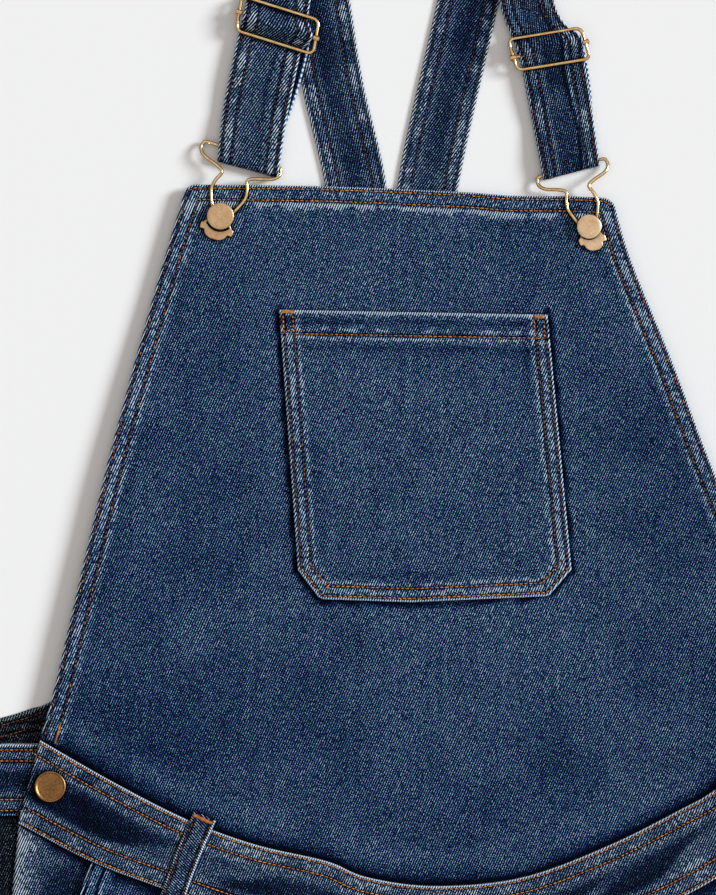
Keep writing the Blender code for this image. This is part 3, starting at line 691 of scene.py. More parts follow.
def denim(name, bright, stops):
    """3/1 indigo twill, woven and stone washed: dark warp ribs lean up to the right, pale weft flecks show
    between them, and rubbed places keep the ribs but turn them nearly white."""
    values = sizes()
    made, add, shader = new_material(name)
    grain = add("UVMap", uv_map="grain")
    in_mm = add("VectorMath", {0: grain, 1: (1000, 1000, 1000)}, operation="MULTIPLY")
    lean = math.radians(90 - values.twill_angle)
    turned = add("VectorRotate", {"Vector": in_mm, "Angle": lean}, rotation_type="Z_AXIS")
    # a wave texture of scale 1 repeats every 2 pi / 20
    scale = 2 * math.pi / (20 * values.twill_pitch)
    wave = {"Vector": turned, "Scale": scale, "Distortion": 0.8, "Detail": 1.0, "Detail Scale": 0.9}
    ribs = add("TexWave", wave, bands_direction="X")
    rib = add("Math", {0: ribs.outputs["Fac"], 1: 1.5}, operation="POWER")
    # flecks 0.4 mm wide and 0.7 mm long, along the ribs
    stretched = add("VectorMath", {0: turned, 1: (1.0, 0.6, 1.0)}, operation="MULTIPLY")
    flecks = add("TexNoise", {"Vector": stretched, "Scale": 2.5, "Detail": 1.0, "Roughness": 0.6})
    fleck = add("MapRange", {"Value": flecks, 1: 0.36, 2: 0.7, 3: 0.64, 4: 1.52}, clamp=False)
    # uneven yarns down the warp, and clouds of wash 30 mm across
    warp = add("VectorMath", {0: in_mm, 1: (0.55, 0.02, 1.0)}, operation="MULTIPLY")
    yarns = add("TexNoise", {"Vector": warp, "Scale": 0.6, "Detail": 3.0})
    wash = add("TexNoise", {"Vector": in_mm, "Scale": 0.035, "Detail": 3.0})
    wear = add("Attribute", attribute_name="wear").outputs["Fac"]
    # rubbing takes the high places of a hem first, in spots 3 mm apart
    spots = add("TexNoise", {"Vector": in_mm, "Scale": 0.45, "Detail": 1.5})
    spot = add("MapRange", {"Value": spots, 1: 0.4, 2: 0.62, 3: -1.2, 4: 0.1})
    firm = add("Math", {0: 1.3, 1: wear}, operation="SUBTRACT")
    broken = add("Math", {0: spot, 1: firm}, operation="MULTIPLY")
    strong = add("Math", {0: wear, 1: 1.5, 2: broken}, operation="MULTIPLY_ADD")
    # below zero the cloth is darker: unworn cloth and painted shade
    unworn_and_shade = add("Math", {0: wear, 1: 0.0}, operation="MINIMUM")
    worn_and_shaded = add("Math", {0: strong, 1: unworn_and_shade}, operation="MAXIMUM")
    bare = add("MapRange", {"Value": worn_and_shaded, 1: 1.4, 2: 2.0, 3: 0.0, 4: 0.85})
    faded = add("Math", {0: yarns, 1: 0.2, 2: bright - 0.48}, operation="MULTIPLY_ADD")
    faded = add("Math", {0: wash, 1: 0.16, 2: faded}, operation="MULTIPLY_ADD")
    lit = add("Math", {0: rib, 1: fleck, 2: faded}, operation="MULTIPLY_ADD")
    rubbed = add("Math", {0: rib, 1: 1.55, 2: -0.42}, operation="MULTIPLY_ADD")
    total = add("Math", {0: worn_and_shaded, 1: rubbed, 2: lit}, operation="MULTIPLY_ADD")
    # an edge rubbed bare has lost its ribs as well
    pale = add("Math", {0: fleck, 1: 0.35, 2: 0.6}, operation="MULTIPLY_ADD")
    shown = add("Mix", {0: bare, 2: total, 3: pale})
    colour = ramp(add("ValToRGB", {"Fac": shown}), stops)
    # each fleck leans a little to teal or to violet
    tint = add("MapRange", {"Value": flecks.outputs["Color"], 1: 0.41, 2: 0.59, 3: 0.43, 4: 0.555})
    tinted = add("HueSaturation", {"Hue": tint, "Color": colour})
    raised = add("Math", {0: fleck, 1: 0.3, 2: rib}, operation="MULTIPLY_ADD")
    bump = add("Bump", {"Height": raised, "Strength": 0.6, "Distance": 0.00015})
    # painted shade: the cloth is darkened to near black in the corners beside thick edges, up to 2.5 mm out,
    # by how enclosed each point is
    corner = add("AmbientOcclusion", {"Distance": 0.0025}, samples=6)
    occlusion_shade = add("MapRange", {"Value": corner.outputs["AO"], 1: 0.6, 2: 0.93, 3: 0.95, 4: 0.0})
    corner_shaded = add("Mix", {0: occlusion_shade, 6: tinted, 7: srgb("#00030c")}, data_type="RGBA")
    look = {"Roughness": 0.9, "Specular IOR Level": 0.03, "Sheen Weight": 0.006, "Sheen Roughness": 0.6}
    set_inputs(shader, {"Base Color": corner_shaded.outputs[2], "Normal": bump, **look})
    return made


def thread(name, dark, light, even=0.0):
    """Spun polyester sewing thread: soft sheen, each stitch a little lighter or darker."""
    made, add, shader = new_material(name)
    place = add("TexCoord").outputs["Object"]
    spread = add("TexNoise", {"Vector": place, "Scale": 420.0, "Detail": 1.0})
    fit = add("MapRange", {"Value": spread, 1: 0.35, 2: 0.65})
    colour = ramp(add("ValToRGB", {"Fac": fit}), [(even, dark), (1.0, light)])
    set_inputs(shader, {"Base Color": colour, "Roughness": 0.6})
    return made


def brass(name, dark, light, rough, highlight_gain):
    """Antique plated brass: drawn or stamped, brushed satin, with grains of browner metal in the plating."""
    made, add, shader = new_material(name)
    place = add("TexCoord").outputs["Object"]
    # tarnish in grains of 1 mm over patches of 6 mm
    grains = add("TexNoise", {"Vector": place, "Scale": 900.0, "Detail": 4.0, "Roughness": 0.75})
    patches = add("TexNoise", {"Vector": place, "Scale": 160.0})
    mixed = add("Math", {0: patches, 1: 0.5, 2: grains}, operation="MULTIPLY_ADD")
    fit = add("MapRange", {"Value": mixed, 1: 0.5, 2: 1.0})
    colour = ramp(add("ValToRGB", {"Fac": fit}), [(0.0, dark), (1.0, light)])
    grit = add("TexNoise", {"Vector": place, "Scale": 3000.0, "Detail": 2.0})
    bump = add("Bump", {"Height": grit, "Strength": 0.2, "Distance": 0.00004})
    uneven = add("MapRange", {"Value": grains, 3: rough + 0.08, 4: rough - 0.08})
    # painted highlight and shade: faces turned towards the camera are brightened by the highlight gain, and
    # steep sides are darkened towards brown
    facing = add("LayerWeight", {"Blend": 0.5}).outputs["Facing"]
    bright = add("MapRange", {"Value": facing, 1: 0.01, 2: 0.1, 3: 1.0, 4: highlight_gain})
    highlighted = add("VectorMath", {0: colour, "Scale": bright}, operation="SCALE")
    steep_shade = add("MapRange", {"Value": facing, 1: 0.1, 2: 0.4, 3: 0.0, 4: 0.95})
    highlighted_and_shaded = add("Mix", {0: steep_shade, 6: highlighted, 7: srgb("#40200b")}, data_type="RGBA")
    # dark patina together with painted shade: darkened up to 4 mm out from where two pieces meet, by how
    # enclosed each point is
    occlusion = add("AmbientOcclusion", {"Distance": 0.004}, samples=8)
    occlusion_shade = add("MapRange", {"Value": occlusion.outputs["AO"], 1: 0.42, 2: 0.92, 3: 0.05, 4: 1.0})
    shade_and_patina = add("Mix", {0: occlusion_shade, 6: srgb("#170e06"), 7: highlighted_and_shaded.outputs[2]}, data_type="RGBA")
    set_inputs(shader, {"Base Color": shade_and_patina.outputs[2], "Roughness": uneven, "Normal": bump, "Metallic": 1.0})
    return made


# The colours of washed denim, from the darkest warp to the palest weft: outside, in narrow pieces and inside,
# whose greys are darkened with painted shade.
FADING = (0, 0.15, 0.34, 0.55, 0.76, 1)
INDIGO = [*zip(FADING, ("#000210", "#000921", "#082349", "#224a7e", "#598bc3", "#cbdff3"))]
NARROW = [*zip(FADING, ("#02030e", "#040b1e", "#102649", "#2b4c79", "#6389b6", "#d3e0ee"))]
INSIDE_SHADED = ((0, "#010205"), (0.3, "#04070e"), (0.6, "#101824"), (0.8, "#34414f"), (1, "#93a0ad"))

# Each material: what makes it, then how bright it is and its colours, or its dark and light colour and
# what else it is given.
FINISHES = {
    "twill": (denim, 0.0, INDIGO),
    "twill_strap": (denim, 0.02, NARROW),
    "twill_inside": (denim, 0.06, INSIDE_SHADED),
    "thread_orange": (thread, "#a3560f", "#ea9c3c"),
    "thread_brown": (thread, "#2c170e", "#8a4c1c"),
    "thread_dark": (thread, "#120c0c", "#3a2417"),
    "thread_strap": (thread, "#1b110d", "#8a4820", 0.4),
    "thread_fleck": (thread, "#2a150c", "#d0752a", 0.35),
    "thread_rust": (thread, "#5c2a12", "#b96e30"),
    "brass_hook": (brass, "#b08a5e", "#dcbd97", 0.36, 1.7),
    # the hook brass again, painted paler for the right side as lit more brightly
    "brass_hook_pale": (brass, "#c7a47c", "#ecd2b0", 0.36, 1.7),
    "brass_button": (brass, "#5a3e25", "#9a7145", 0.4, 2.4),
    "brass_wire": (brass, "#c07a42", "#fdcc98", 0.2, 2.9),
}


def finish(name):
    """A material of the garment, made when it is first asked for."""
    if name in bpy.data.materials:
        return bpy.data.materials[name]
    maker, *values = FINISHES[name]
    return maker(name, *values)


# ---- Stitches ----


def stitch_tree():
    """A node tree that lays stitches along the edges of a mesh."""
    if "Stitches" in bpy.data.node_groups:
        return bpy.data.node_groups["Stitches"]
    tree = bpy.data.node_groups.new("Stitches", "GeometryNodeTree")
    sockets = dict.fromkeys(("Pitch", "Length", "Width", "Height", "Turn"), "Float")
    sockets = {"Rows": "Geometry", **sockets, "Seed": "Int", "Thread": "Material"}
    for name, kind in sockets.items():
        tree.interface.new_socket(name, in_out="INPUT", socket_type="NodeSocket" + kind)
    tree.interface.new_socket("Stitches", in_out="OUTPUT", socket_type="NodeSocketGeometry")
    add = partial(add_node, tree)
    given = add("NodeGroupInput").outputs
    curve = add("GeometryNodeMeshToCurve", {"Mesh": given["Rows"]})
    spaced = add("GeometryNodeResampleCurve", {"Curve": curve, "Length": given["Pitch"]}, mode="LENGTH")
    ahead = add("GeometryNodeInputTangent")
    aimed = add("FunctionNodeAlignRotationToVector", {"Vector": ahead}, axis="X")
    random = partial(add, "FunctionNodeRandomValue", data_type="FLOAT")
    sway = random({"Min": -0.09, "Max": 0.09, "Seed": given["Seed"]}).outputs["Value"]
    turn = add("Math", {0: given["Turn"], 1: sway}, operation="ADD")
    spin = {"Rotation": aimed, "Rotate By": add("CombineXYZ", {"Z": turn})}
    laid = add("FunctionNodeRotateRotation", spin, rotation_space="LOCAL")
    size = add("CombineXYZ", {"X": given["Length"], "Y": given["Width"], "Z": given["Height"]})
    ball = add("GeometryNodeMeshUVSphere", {"Segments": 6, "Rings": 5, "Radius": 0.5})
    upright = add("GeometryNodeTransform", {"Geometry": ball, "Rotation": (0, math.pi / 2, 0)})
    vary = random({"Min": 0.86, "Max": 1.12, "Seed": given["Seed"]}).outputs["Value"]
    grown = add("VectorMath", {0: size, "Scale": vary}, operation="SCALE")
    each = {"Points": spaced, "Instance": upright, "Rotation": laid, "Scale": grown}
    sewn = add("GeometryNodeInstanceOnPoints", each)
    real = add("GeometryNodeRealizeInstances", {"Geometry": sewn})
    painted = add("GeometryNodeSetMaterial", {"Geometry": real, "Material": given["Thread"]})
    soft = add("GeometryNodeSetShadeSmooth", {"Geometry": painted})
    add("NodeGroupOutput", {"Stitches": soft})
    return tree


def sew(name, rows, colour, pitch=None, length=None, width=None, turn=0.0, seed=1):
    """Stitches along rows of places (x, y, z in mm), as one plain mesh."""
    values = sizes()
    pitch, length = pitch or values.stitch_pitch, length or values.stitch_length
    width = width or values.thread_width
    points, edges = [], []
    for row in rows:
        start = len(points)
        points.extend(placed(*place) for place in row)
        edges.extend((k, k + 1) for k in range(start, len(points) - 1))
    mesh = bpy.data.meshes.new(name)
    mesh.from_pydata(points, edges, [])
    obj = collected(bpy.data.objects.new(name, mesh))
    tree = stitch_tree()
    sewing = obj.modifiers.new("stitches", "NODES")
    sewing.node_group = tree
    given = {
        "Pitch": pitch * MM,
        "Length": length * MM,
        "Width": width * MM,
        "Height": 0.75 * width * MM,
        "Turn": math.radians(turn),
        "Seed": seed,
        "Thread": finish(colour),
    }
    for item in tree.interface.items_tree:
        if item.name in given and item.in_out == "INPUT":
            sewing[item.identifier] = given[item.name]
    obj.data.update()
    return ride(fold_mesh(obj), "denim")


def inset(line, away, start=0.0, end=0.0):
    """A line moved to its left side by a distance, with its ends trimmed, at points 2 mm apart."""
    line = np.asarray(line, float)
    moved = line + away * left_of(line)
    along = run_of(moved)
    places = np.linspace(start, along[-1] - end, max(2, round((along[-1] - start - end) / 2)))
    return np.stack([np.interp(places, along, column) for column in moved.T], axis=-1)


def rows_in(line, distances, start=0.0, end=0.0):
    """Stitch rows to a line's left side, at distances from it."""
    return [inset(line, away, start, end) for away in distances]


def on_top(rows, top, proud=0.1):
    """Lines of (x, y) laid on a panel whose upper face is top(x, y)."""
    return [[*zip(*row.T, top(*row.T) + proud)] for row in rows]


# ---- The bib ----


@lru_cache
def bib_places():
    """The bib's flat places on a grid, with round upper corners, and its sides and top as one line."""
    seam = np.array([0, SEAM])
    left, right = path_through(BIB_LEFT), path_through(BIB_RIGHT)
    surface = patch(
        path_through(np.array(WAIST_SEAM) + seam),
        path_through(BIB_TOP),
        lambda t: left(t) + np.asarray(1 - t)[..., None] * seam,
        lambda t: right(t) + np.asarray(1 - t)[..., None] * seam,
    )
    v = shares(length_of(left), BIB_STEP, SHORT_ZONE, HEM_ZONE)[0]
    places, u, widths = grid_over(surface, v, BIB_STEP)
    below = np.clip(1 - (1 - v) * length_of(left) / BIB_CORNER, 0, 1)[:, None]
    for side, edge, sign in ((u, left, 1), (1 - u, right, -1)):
        beside = np.clip(1 - side * widths[:, None] / BIB_CORNER, 0, 1)
        in_x = beside * (1 - np.sqrt(1 - below**2 / 2)) * BIB_CORNER * sign
        down = below * (1 - np.sqrt(1 - beside**2 / 2)) * BIB_CORNER
        slope = (edge(0.9) - edge(1.0)) / np.linalg.norm(edge(0.9) - edge(1.0))
        places = places + np.stack([in_x + down * slope[0], down * slope[1]], axis=-1)
    outline = np.concatenate([places[:, 0], places[-1, 1:], places[-2::-1, -1]])
    return places, outline


def bib_form(x, y):
    """The relief of the bib, and its wear with painted shadows along the waist seam and round the pocket; it
    is a little darker towards the bottom and at the lower left.
    """
    _, outline = bib_places()
    hem = Hem(BIB_ROWS, crest=1.1, middle=0.46, band=0.62, seed=3, pitch=4.5, reach=1.8, spots=0.15)
    relief, wear = hems_form([(hem, outline)], x, y)
    down, along = from_line(line_through(BIB_TOP, 61), x, y)
    wear = wear - 0.22 * bell((down - 5.2) / 2.2)
    wear = wear + 0.5 * bell((down - BIB_ROWS[1] - 3.4) / 2.4) * smooth((ripple(along, 5.0, 5) - 0.1) / 0.5)
    seam, _ = from_line(line_through(WAIST_SEAM), x, y)
    relief = relief - 0.5 * bell(seam / 2.0) + 0.5 * mottle(x, y, 45, 11) * smooth(seam / 20)
    # painted shadow: the bib is darkened along the waist seam, where the waistband's edge shades it
    wear = wear - 0.8 * bell(seam / 2.0) - 0.25 * bell(seam / 6.0)
    wear = wear + 0.2 * bell((seam - 14) / 7) * cloud(x, y, 16, 8)
    wear = wear - 0.06 * smooth((150 - y) / 90) - 0.12 * bell((x + 150) / 60) * bell((y - 85) / 45)
    # painted shadow: a dark line round the pocket's sides and foot, where the pocket shades the bib
    edge, _ = from_line(pocket_edges(), x, y)
    wear = wear - 0.85 * bell(edge / 1.7) + 0.12 * bell((edge - 7) / 4) * cloud(x, y, 10, 12)
    return relief, wear + 0.16 * mottle(x, y, 60, 9) + 0.10 * mottle(x, y, 22, 10)


def bib_top(x, y):
    """The bib's upper face."""
    return bib_height(x, y) + DENIM + bib_form(x, y)[0]


def build_bib():
    """The bib with its turned side and top hems."""
    places, outline = bib_places()
    x, y = places[..., 0], places[..., 1]
    relief, wear = bib_form(x, y)
    z = bib_height(x, y) + DENIM + relief
    cloth("bib_front", (x, y, z), (x, y), wear, "twill", ["back_panel", "waistband_back"])
    outer, inner = BIB_ROWS
    round_all = inset(outline, -outer, 1.0, 1.0)
    at_top = [k for k, (px, py) in enumerate(round_all) if py > y_on(BIB_TOP, px) - outer - BIB_CORNER / 2]
    left, right = line_through(BIB_LEFT), line_through(BIB_RIGHT)
    top = line_through(BIB_TOP, 61)
    rows = [round_all[at_top[0] : at_top[-1] + 1], inset(top, -inner, inner - 1, inner - 1)]
    sew("stitches_bib_top", on_top(rows, bib_top), "thread_orange", seed=2)
    rows = [round_all[: at_top[0] + 1], round_all[at_top[-1] :]]
    rows += [inset(left, -inner, 1.0, inner - 1), inset(right[::-1], -inner, inner - 1, 1.0)]
    sew("stitches_bib_sides", on_top(rows, bib_top), "thread_fleck", seed=3)
    tacks = [inset(left, -inner - 0.2, 1.0, length_of(path_through(BIB_LEFT)) - 12.0)]
    tacks += [inset(right[::-1], -inner - 0.2, length_of(path_through(BIB_RIGHT)) - 12.0, 1.0)]
    sew("bartacks_bib", on_top(tacks, bib_top, 0.15), "thread_orange", 0.8, 1.5, 0.5, 55, seed=4)


# ---- The bib pocket ----


def pocket_edges():
    """The pocket's sides and foot as one line, from the top left corner down and round to the top right."""
    left, right = line_through(POCKET_LEFT, 41)[::-1], line_through(POCKET_RIGHT, 41)
    foot = line_through(POCKET_FOOT, 81, soft=False)
    return np.concatenate([left, foot[1:-1], right])


def pocket_form(x, y):
    """The relief of the pocket, and its wear with the shade painted along its hems."""
    top = line_through(POCKET_TOP, 41)
    sides = Hem(POCKET_ROWS, lift=0.35, crest=1.2, middle=0.5, band=0.6, seed=13, pitch=4.5, reach=1.8)
    mouth = Hem((POCKET_HEM,), lift=0.4, crest=1.2, band=0.8, seed=14, reach=1.8, edge=2.0)
    relief, wear = hems_form([(sides, pocket_edges()), (mouth, top)], x, y)
    down, along = from_line(top, x, y)
    # the turned mouth is rubbed in spots just above its row and keeps its colour between them
    wear = wear + 0.75 * bell((down - POCKET_HEM + 2.6) / 1.3) * smooth((ripple(along, 3.6, 15) - 0.3) / 0.4)
    wear = wear - 0.16 * bell((down - POCKET_HEM / 2 + 0.6) / 2.2)
    wear = wear - 0.08 * bell((down - POCKET_HEM - 6.5) / 2.5)
    side, _ = from_line(pocket_edges(), x, y)
    foot, _ = from_line(line_through(POCKET_FOOT, 81, soft=False), x, y)
    wear = wear + 0.3 * bell(foot / 1.5)
    corner = smooth((POCKET_HEM - 1 - down) / 2) * smooth((down - 1.5) / 2) * smooth((8 - side) / 1.5)
    wear = wear - 0.5 * corner
    wear = wear + 0.05 + 0.14 * mottle(x, y, 50, 16) + 0.10 * mottle(x, y, 18, 17)
    return relief + 0.4 * mottle(x, y, 40, 18), wear


def pocket_top(x, y):
    """The pocket's upper face."""
    return bib_height(x, y) + 2 * DENIM + GAP + pocket_form(x, y)[0]


def build_bib_pocket():
    """The patch pocket with its double-stitched edge, its hemmed mouth and corner tacks."""
    top, left, right = (path_through(edge) for edge in (POCKET_TOP, POCKET_LEFT, POCKET_RIGHT))
    surface = patch(path_through(POCKET_FOOT, soft=False), top, left, right)
    places = surface(*np.meshgrid(*(shares(size, POCKET_STEP)[0] for size in POCKET_SIZE)))
    x, y = places[..., 0], places[..., 1]
    relief, wear = pocket_form(x, y)
    z = bib_height(x, y) + 2 * DENIM + GAP + relief
    cloth("bib_pocket", (x, y, z), (x, y), wear, "twill", ["bib_front"])
    edges = pocket_edges()
    corners = [k for k, point in enumerate(edges) if abs(point[1] - POCKET_FOOT[0][1]) < 0.6]
    left, foot, right = edges[: corners[0] + 1], edges[corners[0] : corners[-1] + 1], edges[corners[-1] :]
    rows = rows_in(left, POCKET_ROWS, 1.5, 0.5) + rows_in(right, POCKET_ROWS, 0.5, 1.5)
    sew("stitches_pocket_sides", on_top(rows, pocket_top), "thread_brown", seed=5)
    top = line_through(POCKET_TOP, 41)[::-1]
    rows = rows_in(foot, POCKET_ROWS, 1.5, 1.5) + rows_in(top, [POCKET_HEM], 2.0, 2.0)
    sew("stitches_pocket", on_top(rows, pocket_top), "thread_orange", seed=6)
    boxes, bars = [], []
    near, far = POCKET_ROWS
    for side, along in ((left, 0), (right, -1)):
        corner = side[along]
        sign = 1 if along == 0 else -1
        low, high = corner[1] - POCKET_HEM + 1.5, corner[1] - 1.6
        xs = corner[0] + sign * near, corner[0] + sign * far
        outline = [(xs[0], high), (xs[1], high), (xs[1] + 0.4, low), (xs[0] + 0.4, low), (xs[0], high)]
        boxes += [line_through(outline[k : k + 2], 12) for k in (1, 2, 3)]
        bars.append(np.linspace((xs[0] - 0.3, high + 0.4), (xs[1] + 0.3, high + 0.4), 8))
    sew("tacks_pocket", on_top(boxes, pocket_top, 0.15), "thread_orange", 2.0, 1.5, 0.6, seed=7)
    sew("bartacks_pocket", on_top(bars, pocket_top, 0.25), "thread_orange", 0.6, 1.9, 0.6, 78, seed=7)


# ---- The waistbands ----


def band_form(x, y):
    """The relief of the front waistband, and its wear with the shade painted along its hems."""
    top, foot = line_through(WAIST_SEAM), line_through(BAND_FOOT)
    upper = Hem(
        BAND_TOP_ROWS, lift=0.5, crest=1.7, middle=0.22, seed=23, pitch=4.0, reach=2.4, edge=1.5, spots=0.4
    )
    lower = Hem(BAND_FOOT_ROWS, lift=0.45, crest=1.5, middle=0.24, seed=24, pitch=4.0, reach=2.6, spots=0.35)
    ends = Hem((), lift=0.0, crest=0.6, band=0.2, seed=25)
    sides = [(ends, [BAND_FOOT[k], WAIST_SEAM[k]]) for k in (0, -1)]
    relief, wear = hems_form([(upper, top), (lower, foot), *sides], x, y)
    down, along = from_line(top, x, y)
    slack = smooth((down - 12) / 8) * smooth((36 - down) / 8)
    waves = ripple(along * 0.45 + down, 8.5, 26) - 0.5
    dragged = smooth((waves - 0.05) / 0.35) * (0.4 + 1.2 * cloud(x, y, 14, 28))
    relief, wear = relief + waves * slack, wear + (0.2 * waves + 0.42 * dragged - 0.28) * slack
    corner = np.hypot(x - BAND_FOOT[0][0], y - BAND_FOOT[0][1])
    wear = wear - 0.06 - 0.14 * smooth((-150 - x) / 40) + 0.35 * bell(corner / 7)
    return relief, wear + 0.14 * mottle(x, y, 30, 27)


def band_top(x, y):
    """The front waistband's upper face."""
    return band_height(x) + BAND + band_form(x, y)[0]


def build_waistbands():
    """The front waistband, and the back one that wraps round both sides."""
    top, foot = path_through(WAIST_SEAM), path_through(BAND_FOOT)
    u = shares(length_of(top), BAND_STEP, SHORT_ZONE, SHORT_ZONE)[0]
    u, v = np.meshgrid(u, shares(BAND_DEEP, BAND_ROW_STEP)[0])
    places = (1 - v)[..., None] * foot(u) + v[..., None] * top(u)
    x, y = places[..., 0], places[..., 1]
    relief, wear = band_form(x, y)
    z = band_height(x) + BAND + relief
    cloth("waistband_front", (x, y, z), (x, y), wear, "twill_strap", ["waistband_back"], BAND_THICK)
    upper, lower = line_of(top)[::-1], line_of(foot)
    rows = rows_in(upper, BAND_TOP_ROWS, 2.0, 2.0) + rows_in(lower, BAND_FOOT_ROWS, 2.0, 2.0)
    sew("stitches_waistband", on_top(rows, band_top), "thread_orange", seed=8)

    bend = np.linspace(0, math.pi, 15)
    centre = HIP_X - BAND_FOLD
    flat = np.linspace(0, centre, 60)[:-1]
    over = np.linspace(centre, BACK_WRAP, 28)[1:]
    half_x = np.concatenate([flat, centre + BAND_FOLD * np.sin(bend), over])
    half_z = np.concatenate([0 * flat, BAND_FOLD * (1 - np.cos(bend)), 0 * over + BAND_TOP])
    section_x = np.concatenate([-half_x[::-1], half_x[1:]])
    section_z = np.concatenate([half_z[::-1], half_z[1:]])
    along = run_of(np.stack([section_x, section_z], axis=-1))
    height = BACK_BAND[1] - BACK_BAND[0]
    v = shares(height, BAND_ROW_STEP, HEM_ZONE[:-2], HEM_ZONE[:-2])[0] * height
    rows_v, columns = np.meshgrid(v, along, indexing="ij")
    lower = Hem(BACK_ROWS, crest=0.6, band=0.3, seed=33)
    upper = Hem(BACK_ROWS, crest=1.5, middle=0.4, band=0.35, seed=34, spots=0.3)
    lower_lift, lower_small, lower_wear = hem_form(lower, rows_v, columns)
    upper_lift, upper_small, upper_wear = hem_form(upper, height - rows_v, columns)
    small = np.clip(lower_small + upper_small + np.maximum(lower_lift, upper_lift), -0.9, 0.6)
    hollow = np.gradient(section_x), np.gradient(section_z)
    size = np.hypot(*hollow)
    out_x, out_z = hollow[1] / size, -hollow[0] / size
    # the relief moves the cloth outwards where it shows, and the floor side stays flat
    shown = smooth(section_z / BAND_TOP)
    x = section_x + out_x * (small - 0.1) * shown
    z = np.maximum(section_z + out_z * small * shown, 0.0)
    y = BACK_BAND[0] + rows_v
    wear = lower_wear + upper_wear - 0.2 + 0.3 * mottle(columns, rows_v, 14, 35)
    grain = columns[:, ::-1], rows_v
    cloth("waistband_back", (x, y, z), grain, wear, "twill_strap", thick=BAND_THICK, mirrored=True)
    rows = []
    for away in (*BACK_ROWS, height - BACK_ROWS[1], height - BACK_ROWS[0]):
        for sign in (-1, 1):
            xs = sign * np.linspace(HIP_X - 3.4, BACK_WRAP + 2, 36)
            rows.append([(p, BACK_BAND[0] + away, BAND_TOP + 0.1) for p in xs])
    sew("stitches_waistband_back", rows, "thread_orange", seed=9)


# ---- The back ----


def back_form(x, y):
    """The relief of the upper back's hems, and their wear with the shade painted along them."""
    hem = Hem(BACK_ROWS, lift=0.25, crest=1.0, middle=0.15, band=0.05, seed=43)
    lines = [(hem, line_through(points[1:])) for points in (BACK_LEFT, BACK_RIGHT)]
    relief, wear = hems_form(lines, x, y)
    return np.clip(relief, -0.6, 0.5), wear


def build_back_panel():
    """The upper back, whose inner side shows past the bib, darkened with painted shade."""
    waist, top = (path_through([BACK_LEFT[k], BACK_RIGHT[k]]) for k in (0, -1))
    surface = patch(waist, top, path_through(BACK_LEFT), path_through(BACK_RIGHT))
    places, _, _ = grid_over(surface, np.linspace(0, 1, 90) ** 1.15, BACK_STEP)
    x, y = places[..., 0], places[..., 1]
    relief, wear = back_form(x, y)
    cloth("back_panel", (x, y, DENIM + relief), (x, y), wear, "twill_inside", ["floor"])
    left, right = line_through(BACK_LEFT[1:])[::-1], line_through(BACK_RIGHT[1:])
    rows = rows_in(left, BACK_ROWS, 2.0, 2.0) + rows_in(right, BACK_ROWS, 2.0, 2.0)
    sew("stitches_back", on_top(rows, lambda p, q: DENIM + back_form(p, q)[0]), "thread_brown", seed=10)


# ---- The legs ----


def leg_edges(y):
    """The x of a front leg's outer and inner edge, below the hip."""
    crotch = [(CROTCH_Y - 32, 8.3), (CROTCH_Y - 12, 4.8), (CROTCH_Y + 20, GAP / 2), (38.0, GAP / 2)]
    low = read_table(LEG, y, 2) + SIDE_FOLD + SEAM + GAP
    inner = np.where(y < CROTCH_Y - 33, low, read_table(crotch, y, 1))
    return read_table(LEG, y, 1) - SIDE_FOLD - SEAM, inner


def mouth_line(sign):
    """The slant pocket's mouth, from the waistband down."""
    x, y = POCKET_MOUTH[0][1], float(y_on(BAND_FOOT, sign * POCKET_MOUTH[0][1])) - 1.5 * SEAM
    points = [(x, y), *[(q, p) for p, q in POCKET_MOUTH[1:]], (float(leg_edges(LEG_TURN)[0]), LEG_TURN)]
    return line_through([(sign * p, q) for p, q in points])


def leg_form(x, y, sign):
    """The relief of a front leg, and its wear with a painted shadow under the waistband; the hip is also
    darker towards the waistband.
    """
    levels = np.linspace(HEM_Y, LEG_TURN, 121)
    outer, inner = leg_edges(levels)
    side_seam, inside_seam = ([(sign * x, y) for x, y in zip(edge, levels)] for edge in (outer, inner))
    hems = [
        (Hem(MOUTH_ROWS, lift=0.4, crest=1.2, middle=0.5, band=0.6, seed=53, edge=1.7), mouth_line(sign)),
        (Hem((), lift=0.0, crest=0.25, band=0.35, seed=54, pitch=9.0), side_seam),
        (Hem(INSEAM_ROWS, lift=0.35, crest=0.3, middle=0.3, band=0.25, seed=55), inside_seam),
        (Hem((LEG_HEM,), lift=0.5, crest=0.9, band=0.6, seed=56), [(0, HEM_Y), (sign * 260.0, HEM_Y)]),
        (Hem(MOUTH_ROWS, lift=0.4, crest=0.3, middle=0.4, band=0.3, seed=57), [(0, CROTCH_Y), (0, -40.0)]),
    ]
    relief, wear = hems_form(hems, x, y)
    under = y_on(BAND_FOOT, x) - y
    folds = crease_height(x, y) / 1.8
    rubbed = 0.22 * folds + 0.3 * bell((x - sign * 130) / 60) * bell((y + 330) / 190) * cloud(x, y, 40, 58)
    # painted shadow: darker just below the waistband's lower edge
    wear = wear - 0.2 * bell(under / 5) + 0.35 * bell((under - 10) / 6) * cloud(x, y, 12, 59) + rubbed
    wear = wear - 0.28 * smooth((70 - under) / 40)
    small = 0.6 * mottle(x, y, 55, 60) * smooth(under / 20)
    return relief + small, wear + 0.14 * mottle(x, y, 35, 61)


